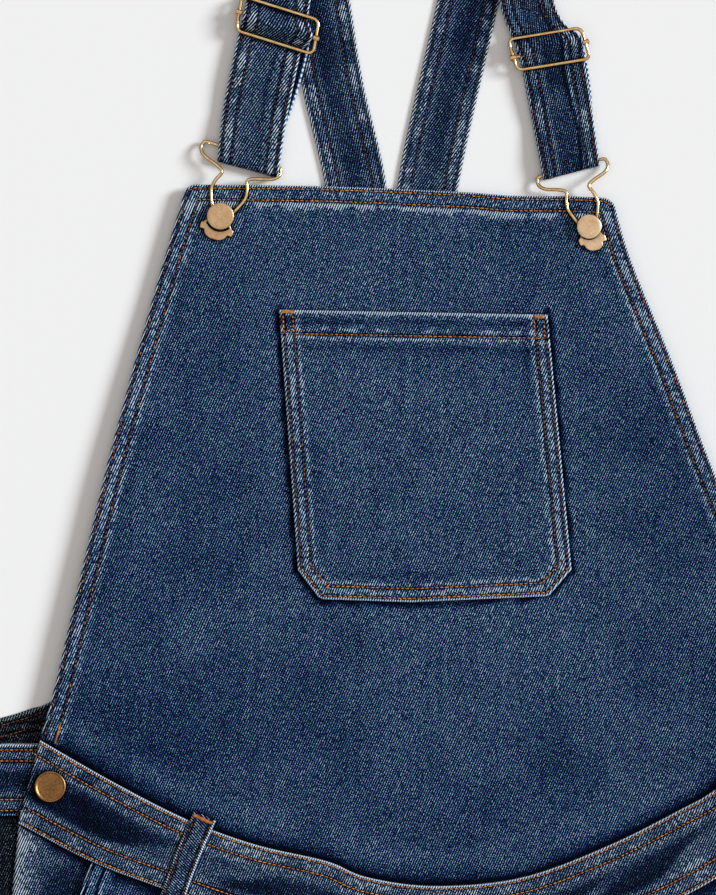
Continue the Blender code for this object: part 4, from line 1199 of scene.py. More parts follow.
def build_leg_front(side, sign):
    """A front leg with its hip and the slant pocket's mouth."""
    mouth_x, middle_x = POCKET_MOUTH[0][1], GAP / 2
    outer, inner = (float(value) for value in leg_edges(LEG_TURN))
    corner = (mouth_x, float(y_on(BAND_FOOT, sign * mouth_x)) - 1.5 * SEAM)
    top_x = np.linspace(mouth_x, middle_x, 40)
    top_line = np.stack([top_x, y_on(BAND_FOOT, sign * top_x) - 1.5 * SEAM], axis=-1)
    hip = patch(
        path_through([(outer, LEG_TURN), (inner, LEG_TURN)]),
        path_through(top_line, soft=False),
        path_through([(outer, LEG_TURN), *[(x, y) for y, x in POCKET_MOUTH[:0:-1]], corner]),
        path_through([(inner, LEG_TURN), (middle_x, -140.0), (middle_x, -43.5)]),
    )
    levels = np.concatenate([HEM_Y + np.array(HEM_ZONE), np.linspace(HEM_Y + 20, LEG_TURN, 150)])
    edge_outer, edge_inner = leg_edges(levels)
    u = shares(np.full(len(levels), LEG_WIDE), LEG_STEP)
    x = edge_outer[:, None] + u * (edge_inner - edge_outer)[:, None]
    y = np.broadcast_to(levels[:, None], u.shape)
    v = shares(HIP_HIGH, HIP_ROW_STEP, SHORT_ZONE[:1], SHORT_ZONE)[0][1:]
    upper_u = np.broadcast_to(u[0], (len(v), u.shape[1]))
    upper = hip(upper_u, np.broadcast_to(v[:, None], upper_u.shape))
    x, y = np.concatenate([x, upper[..., 0]]), np.concatenate([y, upper[..., 1]])
    across = np.concatenate([u, upper_u])
    x = sign * np.maximum(x, middle_x)
    relief, wear = leg_form(x, y, sign)
    z = leg_height(x, y, across) + DENIM + relief
    cloth("leg_front_" + side, (x, y, z), (x, y), wear, "twill", ["leg_back_" + side], mirrored=sign > 0)

    def top(px, py):
        """The leg's upper face; the hip's places are near enough to straight rows here."""
        out, inn = leg_edges(np.minimum(py, LEG_TURN))
        share = np.clip((out - np.abs(px)) / (out - inn), 0, 1)
        return leg_height(px, py, share) + DENIM + leg_form(px, py, sign)[0]

    mouth = mouth_line(sign)
    rows = [inset(mouth, -sign * away, 1.0, 1.0) for away in MOUTH_ROWS]
    levels = np.linspace(HEM_Y + 3, CROTCH_Y - 36, 121)
    seam = np.stack([sign * leg_edges(levels)[1], levels], axis=-1)
    rows += [inset(seam, -sign * away) for away in INSEAM_ROWS]
    hem = np.array([(sign * 52.0, HEM_Y), (sign * 150.0, HEM_Y), (sign * 245.0, HEM_Y)])
    rows.append(inset(hem, sign * LEG_HEM, 4.0, 3.0))
    if sign > 0:
        middle = np.array([(0.0, -180.0), (0.0, -110.0), (0.0, -46.0)])
        rows += [inset(middle, -away) for away in MOUTH_ROWS]
    sew("stitches_leg_" + side, on_top(rows, top), "thread_brown", seed=11)


def build_leg_back(side, sign):
    """A back leg with its seat, its edges curled up to the side and inner leg seams."""
    arc = math.pi * SIDE_FOLD
    legs, seat = np.linspace(HEM_Y, CROTCH_Y - 32, 60), np.linspace(CROTCH_Y - 27, BACK_BAND[0] - GAP, 40)
    levels = np.concatenate([legs, seat])
    curl = np.linspace(0, 1, 11)

    def curled(length, bend):
        """Where a strip of that length ends when its whole arc is bent by bend half turns."""
        bend = np.maximum(bend, 0.01)
        radius = arc / (math.pi * bend)
        return radius * np.sin(length / radius), radius * (1 - np.cos(length / radius))

    def reach(bend):
        """How far across the furthest point of a bent strip lies."""
        return curled(arc * np.minimum(1.0, 0.5 / np.maximum(bend, 0.01)), bend)[0]

    closing = smooth((CROTCH_Y - levels) / 30)
    outer = read_table(LEG, levels, 1) - reach(1.0)
    inner = read_table(LEG, levels, 2) + GAP / 2 + reach(closing)
    side_x, side_z = curled(arc * (1 - curl)[None, :], np.ones((len(levels), 1)))
    seam_x, seam_z = curled(arc * curl[None, :], closing[:, None])
    flat = np.linspace(0, 1, 24)[None, 1:-1]
    flat_x = outer[:, None] + flat * (inner - outer)[:, None]
    x = np.concatenate([outer[:, None] + side_x, flat_x, inner[:, None] - seam_x], axis=1)
    z = np.concatenate([side_z + 0 * outer[:, None], 0 * flat_x, seam_z], axis=1)
    y = np.broadcast_to(levels[:, None], x.shape)
    steps = [np.diff(part, axis=1, prepend=part[:, :1]) for part in (x, z)]
    run = np.cumsum(np.hypot(*steps), axis=1)
    wear = 0.3 * bell((z - SIDE_FOLD) / 1.5) * (z > 0.3) + 0.5 * bell((y - HEM_Y) / 1.5)
    # the grid is read so that its outer side faces the floor and the folds' outsides
    places, grain = (sign * x, y, z), (sign * -run, y)
    cloth("leg_back_" + side, places, grain, wear, "twill", ["floor"], DENIM, mirrored=sign < 0)


def build_hip_pieces(side, sign):
    """The pocket bearer beside the slant mouth, and the placket under the side opening's edge."""
    across, v = np.meshgrid(np.linspace(0, 1, 40), np.linspace(0, 1, 60))
    top_y = SIDE_OPENING[0][0]
    level = BEARER_FOOT + v * (top_y - BEARER_FOOT)
    inner_x = read_table(POCKET_MOUTH, level, 1) - BEARER_UNDER
    x = read_table(SIDE_OPENING, level, 1) * (1 - across) + inner_x * across
    y = level + (y_on(BAND_FOOT, sign * x) - 1.5 * SEAM - top_y) * v**4
    over_band = (BAND_TOP - SIDE_TOP) * smooth((y - 29) / 7)
    z = SIDE_TOP + GAP + DENIM + over_band - 2.2 * smooth((across - 0.33) / 0.67)
    x = sign * x
    edge = [(sign * q, p) for p, q in SIDE_OPENING]
    hem = Hem((), lift=0.0, crest=1.0, band=0.95, seed=63, reach=11.0)
    relief, wear = hems_form([(hem, line_through(edge))], x, y)
    under = y_on(BAND_FOOT, x) - y
    # the pocket bearer is darker, with a painted shadow just below the waistband's lower edge
    wear = wear - 0.34 - 0.25 * bell(under / 4) + 0.5 * bell((under - 9) / 6) * cloud(x, y, 8, 64)
    z = z + np.clip(relief, -0.8, 0.5)
    below = {"rests_on": ["leg_back_" + side], "mirrored": sign > 0}
    cloth("pocket_bearer_" + side, (x, y, z), (x, y), wear, "twill_strap", **below)

    across, y = np.meshgrid(np.linspace(0, 1, 12), np.linspace(PLACKET_FOOT, BACK_BAND[0] - GAP, 50))
    share = (y - PLACKET_FOOT) / (BACK_BAND[0] - GAP - PLACKET_FOOT)
    outer = read_table(LEG, y, 1) - SIDE_FOLD - SEAM
    under = PLACKET_UNDER[1] + share * (PLACKET_UNDER[0] - PLACKET_UNDER[1])
    inner = read_table(SIDE_OPENING, y, 1) - under
    x = sign * (outer + across * (inner - outer))
    wear = 0.5 * bell(across / 0.05) - 0.2 * across
    cloth("side_placket_" + side, (x, y, SIDE_TOP), (x, y), wear, "twill_inside", **below)


# ---- Ribbons: the belt loops and the straps ----

RIBBON_STEP = 1.3  # between a ribbon's columns
EDGE_SHIFT = 40.0  # between the puckers of its two edges


def ribbon(
    name, middle, aside, height, width, hem, thick, rests_on, dark, run=None, scale=1.0, crosswise=False
):
    """A narrow strip of cloth: middle points down its length, unit vectors across it, and heights.

    Its relief moves it along its own outward side, dark is how much darker it is at a place, run is how far
    down it each point lies, scale narrows it along its length, and a crosswise one is cut across the cloth.
    It returns a function that gives places on it.
    """
    if run is None:
        run = np.cumsum(np.hypot(np.hypot(*np.gradient(middle, axis=0).T), np.gradient(height)))
    heading = np.gradient(np.concatenate([middle, height[:, None]], axis=1), axis=0)
    cross = np.concatenate([aside, np.zeros((len(aside), 1))], axis=1)
    outward = np.cross(heading, cross)
    outward /= np.linalg.norm(outward, axis=1)[:, None]
    zone = [away for away in HEM_ZONE[:12] if away < width / 2 - 1]
    across = (shares(width, RIBBON_STEP, zone, zone)[0] - 0.5) * width
    scale = np.broadcast_to(scale, run.shape)

    def form(k, offset):
        """The hem's lift, small relief, and wear with painted shade there; the two edges don't pucker alike.
        """
        return hem_form(hem, width / 2 - np.abs(offset), run[k] + EDGE_SHIFT * (offset > 0))

    def place(k, offset, proud=0.0):
        """The places at rows k, offset mm to the right of the middle."""
        lift, small, _ = form(k, offset)
        rise = thick / 2 + lift + small + proud
        flat = middle[k] + aside[k] * (offset * scale[k])[:, None]
        spot = np.concatenate([flat, height[k][:, None]], axis=1)
        return spot + outward[k] * rise[:, None]

    rows, columns = len(middle), len(across)
    k = np.repeat(np.arange(rows), columns)
    offset = np.tile(across, rows)
    spots = place(k, offset).reshape(rows, columns, 3)
    _, _, wear = form(k, offset)
    wear = wear + 0.2 * mottle(offset, run[k], 11, hem.seed) - dark(offset, run[k])
    grain = (-run[k], -offset) if crosswise else (offset, -run[k])
    grain = [part.reshape(rows, columns)[::-1] for part in grain]
    places = [spots[::-1, :, c] for c in range(3)]
    cloth(name, places, grain, wear.reshape(rows, columns)[::-1], "twill_strap", rests_on, thick)
    return place


def ribbon_rows(place, count, width, distances, proud=0.1, trim=2):
    """Stitch rows down a ribbon at distances from both of its edges."""
    rows = []
    k = np.arange(trim, count - trim)
    for away in distances:
        for sign in (-1, 1):
            offset = np.full(len(k), sign * (width / 2 - away))
            rows.append([tuple(spot) for spot in place(k, offset, proud)])
    return rows


def build_belt_loop(side, row):
    """A belt loop over the front waistband, with its tack at the top."""
    path = path_through(row["loop"])
    t = np.linspace(0, 1, 46)
    middle = path(t)
    aside = left_of(middle)
    height = band_height(middle[:, 0]) + BAND + GAP + DENIM / 2 + 0.5 * np.sin(math.pi * t)
    hem = Hem(LOOP_ROWS, lift=0.15, crest=1.1, middle=0.0, band=0.3, seed=73, pitch=5.0)

    def dye_and_shade(offset, down):
        """Its middle keeps more colour in patches, and its right edge is rubbed white."""
        return 0.16 + 0.5 * (cloud(offset, down, 5.0, 74) - 0.4) - 0.9 * bell((offset - LOOP_WIDTH / 2) / 1.1)

    below, size = ["waistband_front"], (LOOP_WIDTH, hem, DENIM - 0.1)
    place = ribbon("belt_loop_" + side, middle, aside, height, *size, below, dye_and_shade, crosswise=True)
    sew("stitches_loop_" + side, ribbon_rows(place, len(t), LOOP_WIDTH, LOOP_ROWS), "thread_brown", seed=12)
    k = np.full(12, 2)
    offset = np.linspace(-LOOP_WIDTH / 2 + 1.0, LOOP_WIDTH / 2 - 1.0, 12)
    tack = [tuple(spot) for spot in place(k, offset, 0.25)]
    sew("bartack_loop_" + side, [tack], "thread_rust", 0.5, 2.4, 0.62, 72, seed=13)


def strap_axes(row):
    """The middle lines of a strap's front and back stretch, each from the shoulder down."""
    return path_through([row["shoulder"], *row["front"]]), path_through([row["shoulder"], *row["back"]])


def strap_rise(distance):
    """How far the front stretch is held up where it crosses over the back one."""
    return STRAP_CROSSING * smooth((distance - 25) / 30) * smooth((150 - distance) / 38)


def front_strap_track(row, length):
    """Where the front stretch's ply runs: (distance from the shoulder, height) of its middle."""
    low, high = STRAP / 2, STRAP * 1.5 + GAP
    half_turn = np.linspace(0, math.pi, 13)
    fold = [(low + STRAP_FOLD * (1 - math.sin(a)), low + STRAP_FOLD * (1 - math.cos(a))) for a in half_turn]
    after_fold = [(9.0, 3.9), (16.0, 2.9), *[(d, high) for d in np.arange(25.0, row["slider"] - 14, 3.0)]]
    middle = row["slider"]
    bump = [(t, BAR_BUMP / 2 * (1 + math.cos(math.pi * t))) for t in np.linspace(-1, 1, 19)]
    over_bar = [(middle + 8.0 * t, high + rise) for t, rise in bump]
    over_bar = [(middle - 11.0, high), *over_bar, (middle + 11.0, high)]
    turn = HOOK_TURN
    centre = length - turn - STRAP / 2
    to_hook = np.arange(middle + 14, centre - 26, 3.0)
    to_hook = [(d, high + 0.2 * smooth((d - middle - 36) / 20)) for d in to_hook]
    opened = [(centre - 18, 4.1), (centre - 9, low + 2 * turn)]
    loop = [(centre + turn * math.sin(a), low + turn * (1 + math.cos(a))) for a in half_turn]
    back = [(centre - 8, low), (centre - 24, low), (middle + 30, low), (middle + 16, low)]
    end = [(middle + 9, 1.0), (middle + 4, 1.7), (middle, 2.2)]
    track = [(FOLD_START, low)] + fold + after_fold + over_bar + to_hook + opened + loop + back + end
    return np.array([(distance, z + float(strap_rise(distance))) for distance, z in track], float)


def build_straps(side, row):
    """Both stretches of one strap with their edge stitching."""
    front_axis, back_axis = strap_axes(row)
    length = length_of(front_axis)
    track = front_strap_track(row, length)
    ply = run_of(track)
    share = track[:, 0] / length
    aside = unit(np.radians(np.interp(share, *zip(*row["angles"]))))
    # the ply that comes back from the hook shows past the side of the one above it
    returned = np.arange(len(track)) > np.argmax(track[:, 0])
    peek = smooth((row["slider"] + 46 - track[:, 0]) / 22) * returned
    # and in the slider the ply bulges over the bar
    bulge = bell((track[:, 0] - row["slider"] - 1) / 6) * ~returned
    middle = front_axis(share) + aside * (row["peek"][0] * peek + row["bulge"][0] * bulge)[:, None]
    wide_at = [row["slider"] - 12, row["slider"], length - 32, length - 2]
    narrow = np.interp(track[:, 0], wide_at, row["widths"]) + row["peek"][1] * peek + row["bulge"][1] * bulge
    both = {"lift": 0.2, "middle": 0.4, "reach": 2.0, "spots": 0.5}
    hem = Hem(STRAP_ROWS, crest=1.4, band=0.3, seed=83 + row["sign"], pitch=5.0, edge=1.0, **both)
    fold, deep, strap_darker = row["crease"]

    def creased(offset, down):
        """A dark line runs down beside the inner row, with a paler line next to it."""
        from_fold = offset - fold - 1.3 * np.sin(down / 11.0)
        return strap_darker + deep * (bell(from_fold / 0.85) - 0.45 * bell((from_fold - 2.0) / 0.9))

    below, size = ["strap_back_" + side], (STRAP_WIDTH, hem, STRAP - 0.3)
    place = ribbon("strap_front_" + side, middle, aside, track[:, 1], *size, below, creased, ply, narrow)
    shown = int(np.argmax(track[:, 0])) + 1
    rows = ribbon_rows(place, shown, STRAP_WIDTH, STRAP_ROWS, 0.0)
    sew("stitches_strap_front_" + side, rows, "thread_strap", width=0.5, seed=14)

    back_length = length_of(back_axis)
    distance = np.linspace(FOLD_START + SEAM, back_length, 90)
    share = distance / back_length
    aside = unit(np.radians(-BACK_STRAP_LEAN * row["sign"] * smooth(distance / 40)))
    middle = back_axis(share)
    panel_top = BACK_LEFT[-1][1]
    height = (DENIM + GAP) * smooth((panel_top + 18 - middle[:, 1]) / 10) + STRAP / 2
    hem = Hem(STRAP_ROWS, crest=1.3, band=0.2, seed=93 + row["sign"], pitch=4.6, edge=1.5, groove=0.4, **both)

    def dye_and_shade(offset, down):
        """The back stretch is rubbed less, and has painted shade near the shoulder on its side towards the
        front stretch, which shades it there.
        """
        return 0.1 + 0.3 * smooth((150 - down) / 90) * smooth((offset * row["sign"] + 4) / 12)

    below, size = ["back_panel", "floor"], (BACK_STRAP_WIDTH, hem, STRAP - 0.3)
    place = ribbon("strap_back_" + side, middle, aside, height, *size, below, dye_and_shade)
    # the outer rows are sewn in a thread painted near black, standing in for the shade they lie in
    for distance_in, colour, wide in zip(STRAP_ROWS, ("thread_dark", "thread_brown"), (0.4, 0.42)):
        rows = ribbon_rows(place, len(distance), BACK_STRAP_WIDTH, (distance_in,), 0.0)
        sew(f"stitches_strap_back_{side}_{colour[7:]}", rows, colour, length=2.4, width=wide, seed=15)


# ---- Brass fittings ----

WIRE_SIDES = 5
LATHE_STEPS = 72
WELD = 1e-6  # metres


def add_line(curve, points, closed=False):
    """Adds a line of straight runs to a curve, through points in metres."""
    spline = curve.splines.new("POLY")
    spline.points.add(len(points) - 1)
    for end, point in zip(spline.points, points):
        end.co = (*point, 1)
    spline.use_cyclic_u = closed


def wire(name, points, radius):
    """A bent wire as a mesh, through points in metres."""
    curve = bpy.data.curves.new(name, "CURVE")
    curve.dimensions = "3D"
    curve.bevel_depth = radius * MM
    curve.bevel_resolution = WIRE_SIDES
    curve.use_fill_caps = True
    add_line(curve, points)
    return fold_mesh(collected(bpy.data.objects.new(name, curve)))


def brass_piece(name, shape, colour, node, sharp):
    """A bmesh as a smooth brass piece that stands for a solid, with edges sharp from an angle in degrees."""
    mesh = bpy.data.meshes.new(name)
    shape.to_mesh(mesh)
    shape.free()
    mesh.shade_smooth()
    mesh.set_sharp_from_angle(angle=math.radians(sharp))
    mesh.materials.append(finish(colour))
    ride(collected(bpy.data.objects.new(name, mesh)), "brass", node)


def joined(name, shapes, colour, node):
    """Several meshes as one brass piece."""
    union = bmesh.new()
    for shape in shapes:
        union.from_mesh(shape.data)
        bpy.data.objects.remove(shape)
    bmesh.ops.remove_doubles(union, verts=union.verts, dist=WELD)
    brass_piece(name, union, colour, node, 35)


def moved(shape, centre, degrees):
    """Turns a mesh object's points by an angle, then moves them to a place of the garment."""
    turn = Matrix.Rotation(math.radians(degrees), 4, "Z")
    shape.data.transform(Matrix.Translation(placed(*centre)) @ turn)
    return shape


def build_slider(side, row):
    """A wire frame with a centre bar that the strap passes over."""
    x, y, angle, wide, high = row["ring"]
    half_x, half_y = (wide - WIRE) / 2, (high - WIRE) / 2
    rack = math.tan(math.radians(SLIDER_RACK))
    outline = []
    for corner in range(4):
        sx, sy = (1, 1, -1, -1)[corner], (1, -1, -1, 1)[corner]
        for k in range(8):
            a = math.pi / 2 * (1 - corner) - math.pi / 14 * k
            cx, cy = sx * (half_x - SLIDER_RADIUS), sy * (half_y - SLIDER_RADIUS)
            px, py = cx + SLIDER_RADIUS * math.cos(a), cy + SLIDER_RADIUS * math.sin(a)
            outline.append(Vector(((px - rack * py) * MM, py * MM, 0)))
    # the ring's two ends meet in its lower side
    split = [Vector(((rack * half_y - s * 0.12) * MM, -half_y * MM, 0)) for s in (1, -1)]
    outline = [split[0], *outline[16:], *outline[:16], split[1]]
    shapes = [wire("ring", outline, WIRE / 2)]
    shapes.append(wire("bar", [Vector((s * (half_x + 2.1) * MM, 0, 0)) for s in (-1, 1)], WIRE / 2 - 0.05))
    for s in (-1, 1):
        ends = [Vector((s * (half_x + d) * MM, 0, 0)) for d in (-1.3, 1.8)]
        shapes.append(wire("knob", ends, WIRE / 2 + 0.6))
    for shape in shapes[1:]:
        shape.data.transform(Matrix.Rotation(math.radians(row["bar"][0]), 4, "Z"))
        shape.data.transform(Matrix.Translation((0, row["bar"][1] * MM, 0)))
    for shape in shapes:
        moved(shape, (x, y, SLIDER_Z + STRAP_CROSSING), angle)
    joined("slider_" + side, shapes, "brass_wire", "slider_" + side)


def hook_wire_height(up):
    """The hook's wire: low in the strap's end, and up over the bib's top edge."""
    over_bib = FRONT_LOW + BIB_TOP_RISE + DENIM + GAP + WIRE / 2 + 0.25
    return HOOK_BAR_Z + (over_bib - HOOK_BAR_Z) * float(smooth((34.5 - up) / 12))


def build_hook(side, row):
    """The bent wire and the stamped plate that grips its feet."""
    half = line_through(HOOK_WIRE, 70)
    outline = [(-x, y) for x, y in half] + [(x, y) for x, y in half[-2::-1]]
    hook_x, hook_y = row["hook"]
    points = []
    for wide, tall in outline:
        x, up = wide * row["spread"][0], tall * row["spread"][1]
        lean = row["plate_lean"] + (row["lean"] - row["plate_lean"]) * float(smooth((up + 8) / 30))
        turn = math.radians(lean)
        px, py = x * math.cos(turn) - up * math.sin(turn), x * math.sin(turn) + up * math.cos(turn)
        points.append(placed(hook_x + px, hook_y + py, hook_wire_height(tall)))
    joined("hook_" + side, [wire("hook", points, WIRE / 2)], "brass_wire", "hook_" + side)

    narrow, rack = row["plate"][0], math.tan(math.radians(row["plate"][1]))
    half_plate = [(x * narrow, y) for x, y in HOOK_PLATE]
    edge = half_plate + [(-x, y) for x, y in half_plate[-2:0:-1]]
    edge = [((x - rack * y) * MM, y * MM) for x, y in edge]
    soft = line_through([*edge, edge[0]], 90)[:-1]
    # the dark slot round the lower side of the button
    slot_turns = np.radians(np.linspace(218, 322, 24))
    wide = row["radius"]
    outer = [((wide + 0.5) * math.cos(a) * MM, ((wide + 0.5) * math.sin(a) - 0.3) * MM) for a in slot_turns]
    inner = [((wide - 1.2) * math.cos(a) * MM, (wide - 1.2) * math.sin(a) * MM) for a in slot_turns]
    slot = [*outer, *inner[::-1]]
    curve = bpy.data.curves.new("plate", "CURVE")
    curve.dimensions = "2D"
    curve.fill_mode = "BOTH"
    curve.extrude = 0.1 * MM
    curve.bevel_depth = 0.6 * MM
    curve.bevel_resolution = 4
    curve.offset = -0.55 * MM
    for line in (soft, slot):
        add_line(curve, [(px, py, 0) for px, py in line], closed=True)
    shape = fold_mesh(collected(bpy.data.objects.new("plate", curve)))
    moved(shape, (hook_x, hook_y, hook_wire_height(0)), row["plate_lean"])
    joined("hook_plate_" + side, [shape], row["plating"], "hook_" + side)


def turned(name, profile, x, y, colour):
    """A turned piece: a profile of (radius, height) pairs, from the top of its axis down its outer side."""
    lathe = bmesh.new()
    points = [lathe.verts.new((radius * MM, 0, height * MM)) for radius, height in profile]
    for a, b in zip(points, points[1:]):
        lathe.edges.new((a, b))
    line = lathe.verts[:] + lathe.edges[:]
    bmesh.ops.spin(lathe, geom=line, axis=(0, 0, 1), cent=(0, 0, 0), angle=2 * math.pi, steps=LATHE_STEPS)
    bmesh.ops.remove_doubles(lathe, verts=lathe.verts, dist=WELD)
    bmesh.ops.recalc_face_normals(lathe, faces=lathe.faces)
    lathe.transform(Matrix.Translation(placed(x, y, 0)))
    brass_piece(name, lathe, colour, name, 50)


def rounded(radius, height, size, turns):
    """A rounded corner of a profile, round a centre at a radius and a height."""
    return [(radius + size * math.cos(a), height + size * math.sin(a)) for a in np.linspace(*turns)]


def build_buttons(side, row):
    """The bib button that the hook holds, and the waist button of the side opening."""
    x, y = row["button"]
    cloth_top = FRONT_LOW + BIB_TOP_RISE + DENIM + GAP + 0.2
    head = hook_wire_height(0) + WIRE / 2 + GAP
    radius = row["radius"]
    quarter = math.pi / 2
    edge = rounded(radius - 0.6, head + 1.1, 0.6, (quarter - 0.3, quarter - 2.6, 8))
    profile = [(0, head + 1.9), (radius - 2.2, head + 1.82), *edge, (radius - 1.4, head), (2.6, head)]
    profile += [(2.6, cloth_top), (0, cloth_top)]
    turned("bib_button_" + side, profile, x, y, row["plating"])

    x, y = row["waist_button"]
    base = float(band_height(x)) + BAND + GAP
    radius = WAIST_BUTTON_RADIUS
    rim = rounded(radius - 0.65, base + 1.6, 0.65, (2.7, -1.2, 12))
    profile = [(0, base + 1.75), (radius - 2.0, base + 1.7), *rim, (radius - 1.2, base), (0, base)]
    turned("waist_button_" + side, profile, x, y, "brass_button")


# ---- The stage ----

FLOOR_HALF = 6.0  # metres
FLOOR_DROP = 0.0002  # metres, so that what rests on the floor doesn't cut it
SENSOR = 36.0  # height of the camera's sensor, mm


def build_stage():
    """A pale floor, soft light from the upper right and a camera straight above the bib."""
    values = sizes()
    made, add, shader = new_material("painted_board")
    place = add("TexCoord").outputs["Object"]
    weave = add("TexNoise", {"Vector": place, "Scale": 900.0, "Detail": 2.0})
    bump = add("Bump", {"Height": weave, "Strength": 0.15, "Distance": 0.0002})
    look = {"Base Color": (*values.floor_colour, 1.0), "Roughness": 0.95, "Specular IOR Level": 0.1}
    set_inputs(shader, {"Normal": bump, **look})
    mesh = bpy.data.meshes.new("floor")
    corners = [(FLOOR_HALF * x, FLOOR_HALF * y, 0) for x, y in ((-1, -1), (1, -1), (1, 1), (-1, 1))]
    mesh.from_pydata(corners, [], [(0, 1, 2, 3)])
    mesh.materials.append(made)
    floor = collected(bpy.data.objects.new("floor", mesh))
    floor.location.z = -FLOOR_DROP

    scene = bpy.context.scene
    world = bpy.data.worlds.new("studio")
    world.use_nodes = True
    world.node_tree.nodes.clear()
    add = partial(add_node, world.node_tree)
    # a soft overhead fill: bright straight above, dim towards the walls
    above = add("SeparateXYZ", {0: add("TexCoord").outputs["Generated"]})
    high = add("Math", {0: above.outputs["Z"], 1: 4.0}, operation="POWER")
    level = add("Math", {0: high, 1: values.sky_top, 2: values.sky_wall}, operation="MULTIPLY_ADD")
    fill = add("Background", {0: (*values.sky_colour, 1.0), 1: level})
    add("OutputWorld", {0: fill})
    scene.world = world
    lamp = bpy.data.lights.new("window", "SUN")
    lamp.energy = values.sun_strength
    lamp.angle = math.radians(values.sun_width)
    lamp.color = values.sun_colour
    sun = collected(bpy.data.objects.new("window", lamp))
    up, round_by = math.radians(values.sun_height), math.radians(values.sun_round)
    towards = Vector((math.cos(up) * math.cos(round_by), math.cos(up) * math.sin(round_by), math.sin(up)))
    sun.rotation_euler = towards.to_track_quat("Z", "Y").to_euler()

    view = bpy.data.cameras.new("camera")
    view.sensor_fit = "VERTICAL"
    view.sensor_height = SENSOR
    view.lens = SENSOR * values.camera_distance / values.view_height
    view.clip_end = 20.0
    camera = collected(bpy.data.objects.new("camera", view))
    camera.location = (values.view_x, values.view_y, values.camera_distance)
    scene.camera = camera
    scene.view_settings.view_transform = "Standard"


# ---- The add-on ----


class DungareesProperties(bpy.types.PropertyGroup):
    """The sizes and colours that a user would change."""

    twill_pitch: FloatProperty(
        name="Twill pitch", description="Distance between twill lines, mm", default=1.25, min=0.5
    )
    twill_angle: FloatProperty(
        name="Twill angle", description="Lean of the twill lines, degrees", default=66.0
    )
    stitch_pitch: FloatProperty(
        name="Stitch pitch", description="Length of one stitch and its gap, mm", default=2.65
    )
    stitch_length: FloatProperty(
        name="Stitch length", description="Length of the thread that shows, mm", default=2.1
    )
    thread_width: FloatProperty(
        name="Thread width", description="Width of the sewing thread, mm", default=0.62
    )
    floor_colour: FloatVectorProperty(
        name="Floor",
        description="Colour of the surface",
        subtype="COLOR",
        default=(0.86, 0.86, 0.865),
        min=0,
        max=1,
    )
    sky_colour: FloatVectorProperty(
        name="Fill",
        description="Colour of the fill light",
        subtype="COLOR",
        default=(1.0, 0.945, 0.9),
        min=0,
        max=1,
    )
    sky_top: FloatProperty(
        name="Fill overhead", description="Strength of the fill light from above", default=0.8
    )
    sky_wall: FloatProperty(
        name="Fill from walls", description="Strength of the fill light all round", default=0.24
    )
    sun_colour: FloatVectorProperty(
        name="Key",
        description="Colour of the key light",
        subtype="COLOR",
        default=(0.945, 1.0, 1.045),
        min=0,
        max=2,
    )
    sun_strength: FloatProperty(
        name="Key strength", description="Strength of the key light, W/m²", default=3.7
    )
    sun_width: FloatProperty(
        name="Key width", description="Apparent width of the key light, degrees", default=18.0
    )
    sun_height: FloatProperty(
        name="Key height", description="Height of the key light, degrees", default=27.0
    )
    sun_round: FloatProperty(
        name="Key bearing", description="Bearing of the key light from +X, degrees", default=14.0
    )
    camera_distance: FloatProperty(
        name="Camera distance", description="Height of the camera", default=2.2, subtype="DISTANCE"
    )
    view_height: FloatProperty(
        name="View height", description="Height of the view on the floor", default=0.4878, subtype="DISTANCE"
    )
    view_x: FloatProperty(
        name="View x", description="Middle of the view, across", default=-0.0409, subtype="DISTANCE"
    )
    view_y: FloatProperty(
        name="View y", description="Middle of the view, along", default=0.4119, subtype="DISTANCE"
    )


class DUNGAREES_OT_bib(bpy.types.Operator):
    """Build the bib and its hems"""

    bl_idname = "dungarees.bib"
    bl_label = "Bib"

    def execute(self, context):
        build_bib()
        return {"FINISHED"}


class DUNGAREES_OT_bib_pocket(bpy.types.Operator):
    """Build the bib pocket"""

    bl_idname = "dungarees.bib_pocket"
    bl_label = "Bib pocket"

    def execute(self, context):
        build_bib_pocket()
        return {"FINISHED"}


class DUNGAREES_OT_waistbands(bpy.types.Operator):
    """Build both waistbands"""

    bl_idname = "dungarees.waistbands"
    bl_label = "Waistbands"

    def execute(self, context):
        build_waistbands()
        return {"FINISHED"}


class DUNGAREES_OT_back(bpy.types.Operator):
    """Build the upper back"""

    bl_idname = "dungarees.back"
    bl_label = "Upper back"

    def execute(self, context):
        build_back_panel()
        return {"FINISHED"}


class DUNGAREES_OT_legs(bpy.types.Operator):
    """Build both legs, front and back, with the pieces of the hips"""

    bl_idname = "dungarees.legs"
    bl_label = "Legs and hips"

    def execute(self, context):
        for side, row in SIDES.items():
            build_leg_front(side, row["sign"])
            build_leg_back(side, row["sign"])
            build_hip_pieces(side, row["sign"])
        return {"FINISHED"}


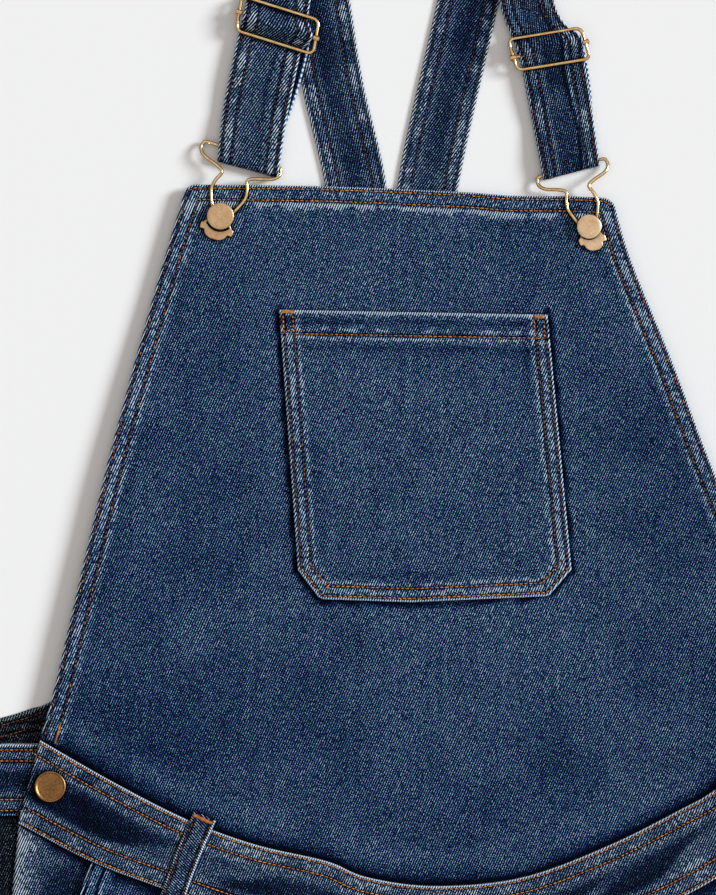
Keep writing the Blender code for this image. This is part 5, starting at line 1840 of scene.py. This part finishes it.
class DUNGAREES_OT_straps(bpy.types.Operator):
    """Build the straps and the belt loops"""

    bl_idname = "dungarees.straps"
    bl_label = "Straps and belt loops"

    def execute(self, context):
        for side, row in SIDES.items():
            build_straps(side, row)
            build_belt_loop(side, row)
        return {"FINISHED"}


class DUNGAREES_OT_fittings(bpy.types.Operator):
    """Build the sliders, hooks and buttons"""

    bl_idname = "dungarees.fittings"
    bl_label = "Brass fittings"

    def execute(self, context):
        for side, row in SIDES.items():
            build_slider(side, row)
            build_hook(side, row)
            build_buttons(side, row)
        return {"FINISHED"}


class DUNGAREES_OT_stage(bpy.types.Operator):
    """Build the floor, the light and the camera"""

    bl_idname = "dungarees.stage"
    bl_label = "Stage"

    def execute(self, context):
        build_stage()
        return {"FINISHED"}


OPERATORS = (
    DUNGAREES_OT_bib,
    DUNGAREES_OT_bib_pocket,
    DUNGAREES_OT_waistbands,
    DUNGAREES_OT_back,
    DUNGAREES_OT_legs,
    DUNGAREES_OT_straps,
    DUNGAREES_OT_fittings,
    DUNGAREES_OT_stage,
)


class DUNGAREES_PT_panel(bpy.types.Panel):
    """Lists the garment's values and the steps that build it"""

    bl_idname = "DUNGAREES_PT_panel"
    bl_label = "Dungarees"
    bl_space_type = "VIEW_3D"
    bl_region_type = "UI"
    bl_category = "Dungarees"

    def draw(self, context):
        values = context.scene.dungarees
        for name in DungareesProperties.__annotations__:
            self.layout.prop(values, name)
        for operator in OPERATORS:
            self.layout.operator(operator.bl_idname)


def register():
    """Registers the add-on's classes and values."""
    for made in (DungareesProperties, *OPERATORS, DUNGAREES_PT_panel):
        bpy.utils.register_class(made)
    bpy.types.Scene.dungarees = PointerProperty(type=DungareesProperties)


def unregister():
    """Removes them."""
    del bpy.types.Scene.dungarees
    for made in reversed((DungareesProperties, *OPERATORS, DUNGAREES_PT_panel)):
        bpy.utils.unregister_class(made)


def main():
    """Builds the whole scene."""
    register()
    bpy.ops.dungarees.stage()
    bpy.ops.dungarees.back()
    bpy.ops.dungarees.legs()
    bpy.ops.dungarees.waistbands()
    bpy.ops.dungarees.bib()
    bpy.ops.dungarees.bib_pocket()
    bpy.ops.dungarees.straps()
    bpy.ops.dungarees.fittings()


if __name__ == "__main__":
    main()
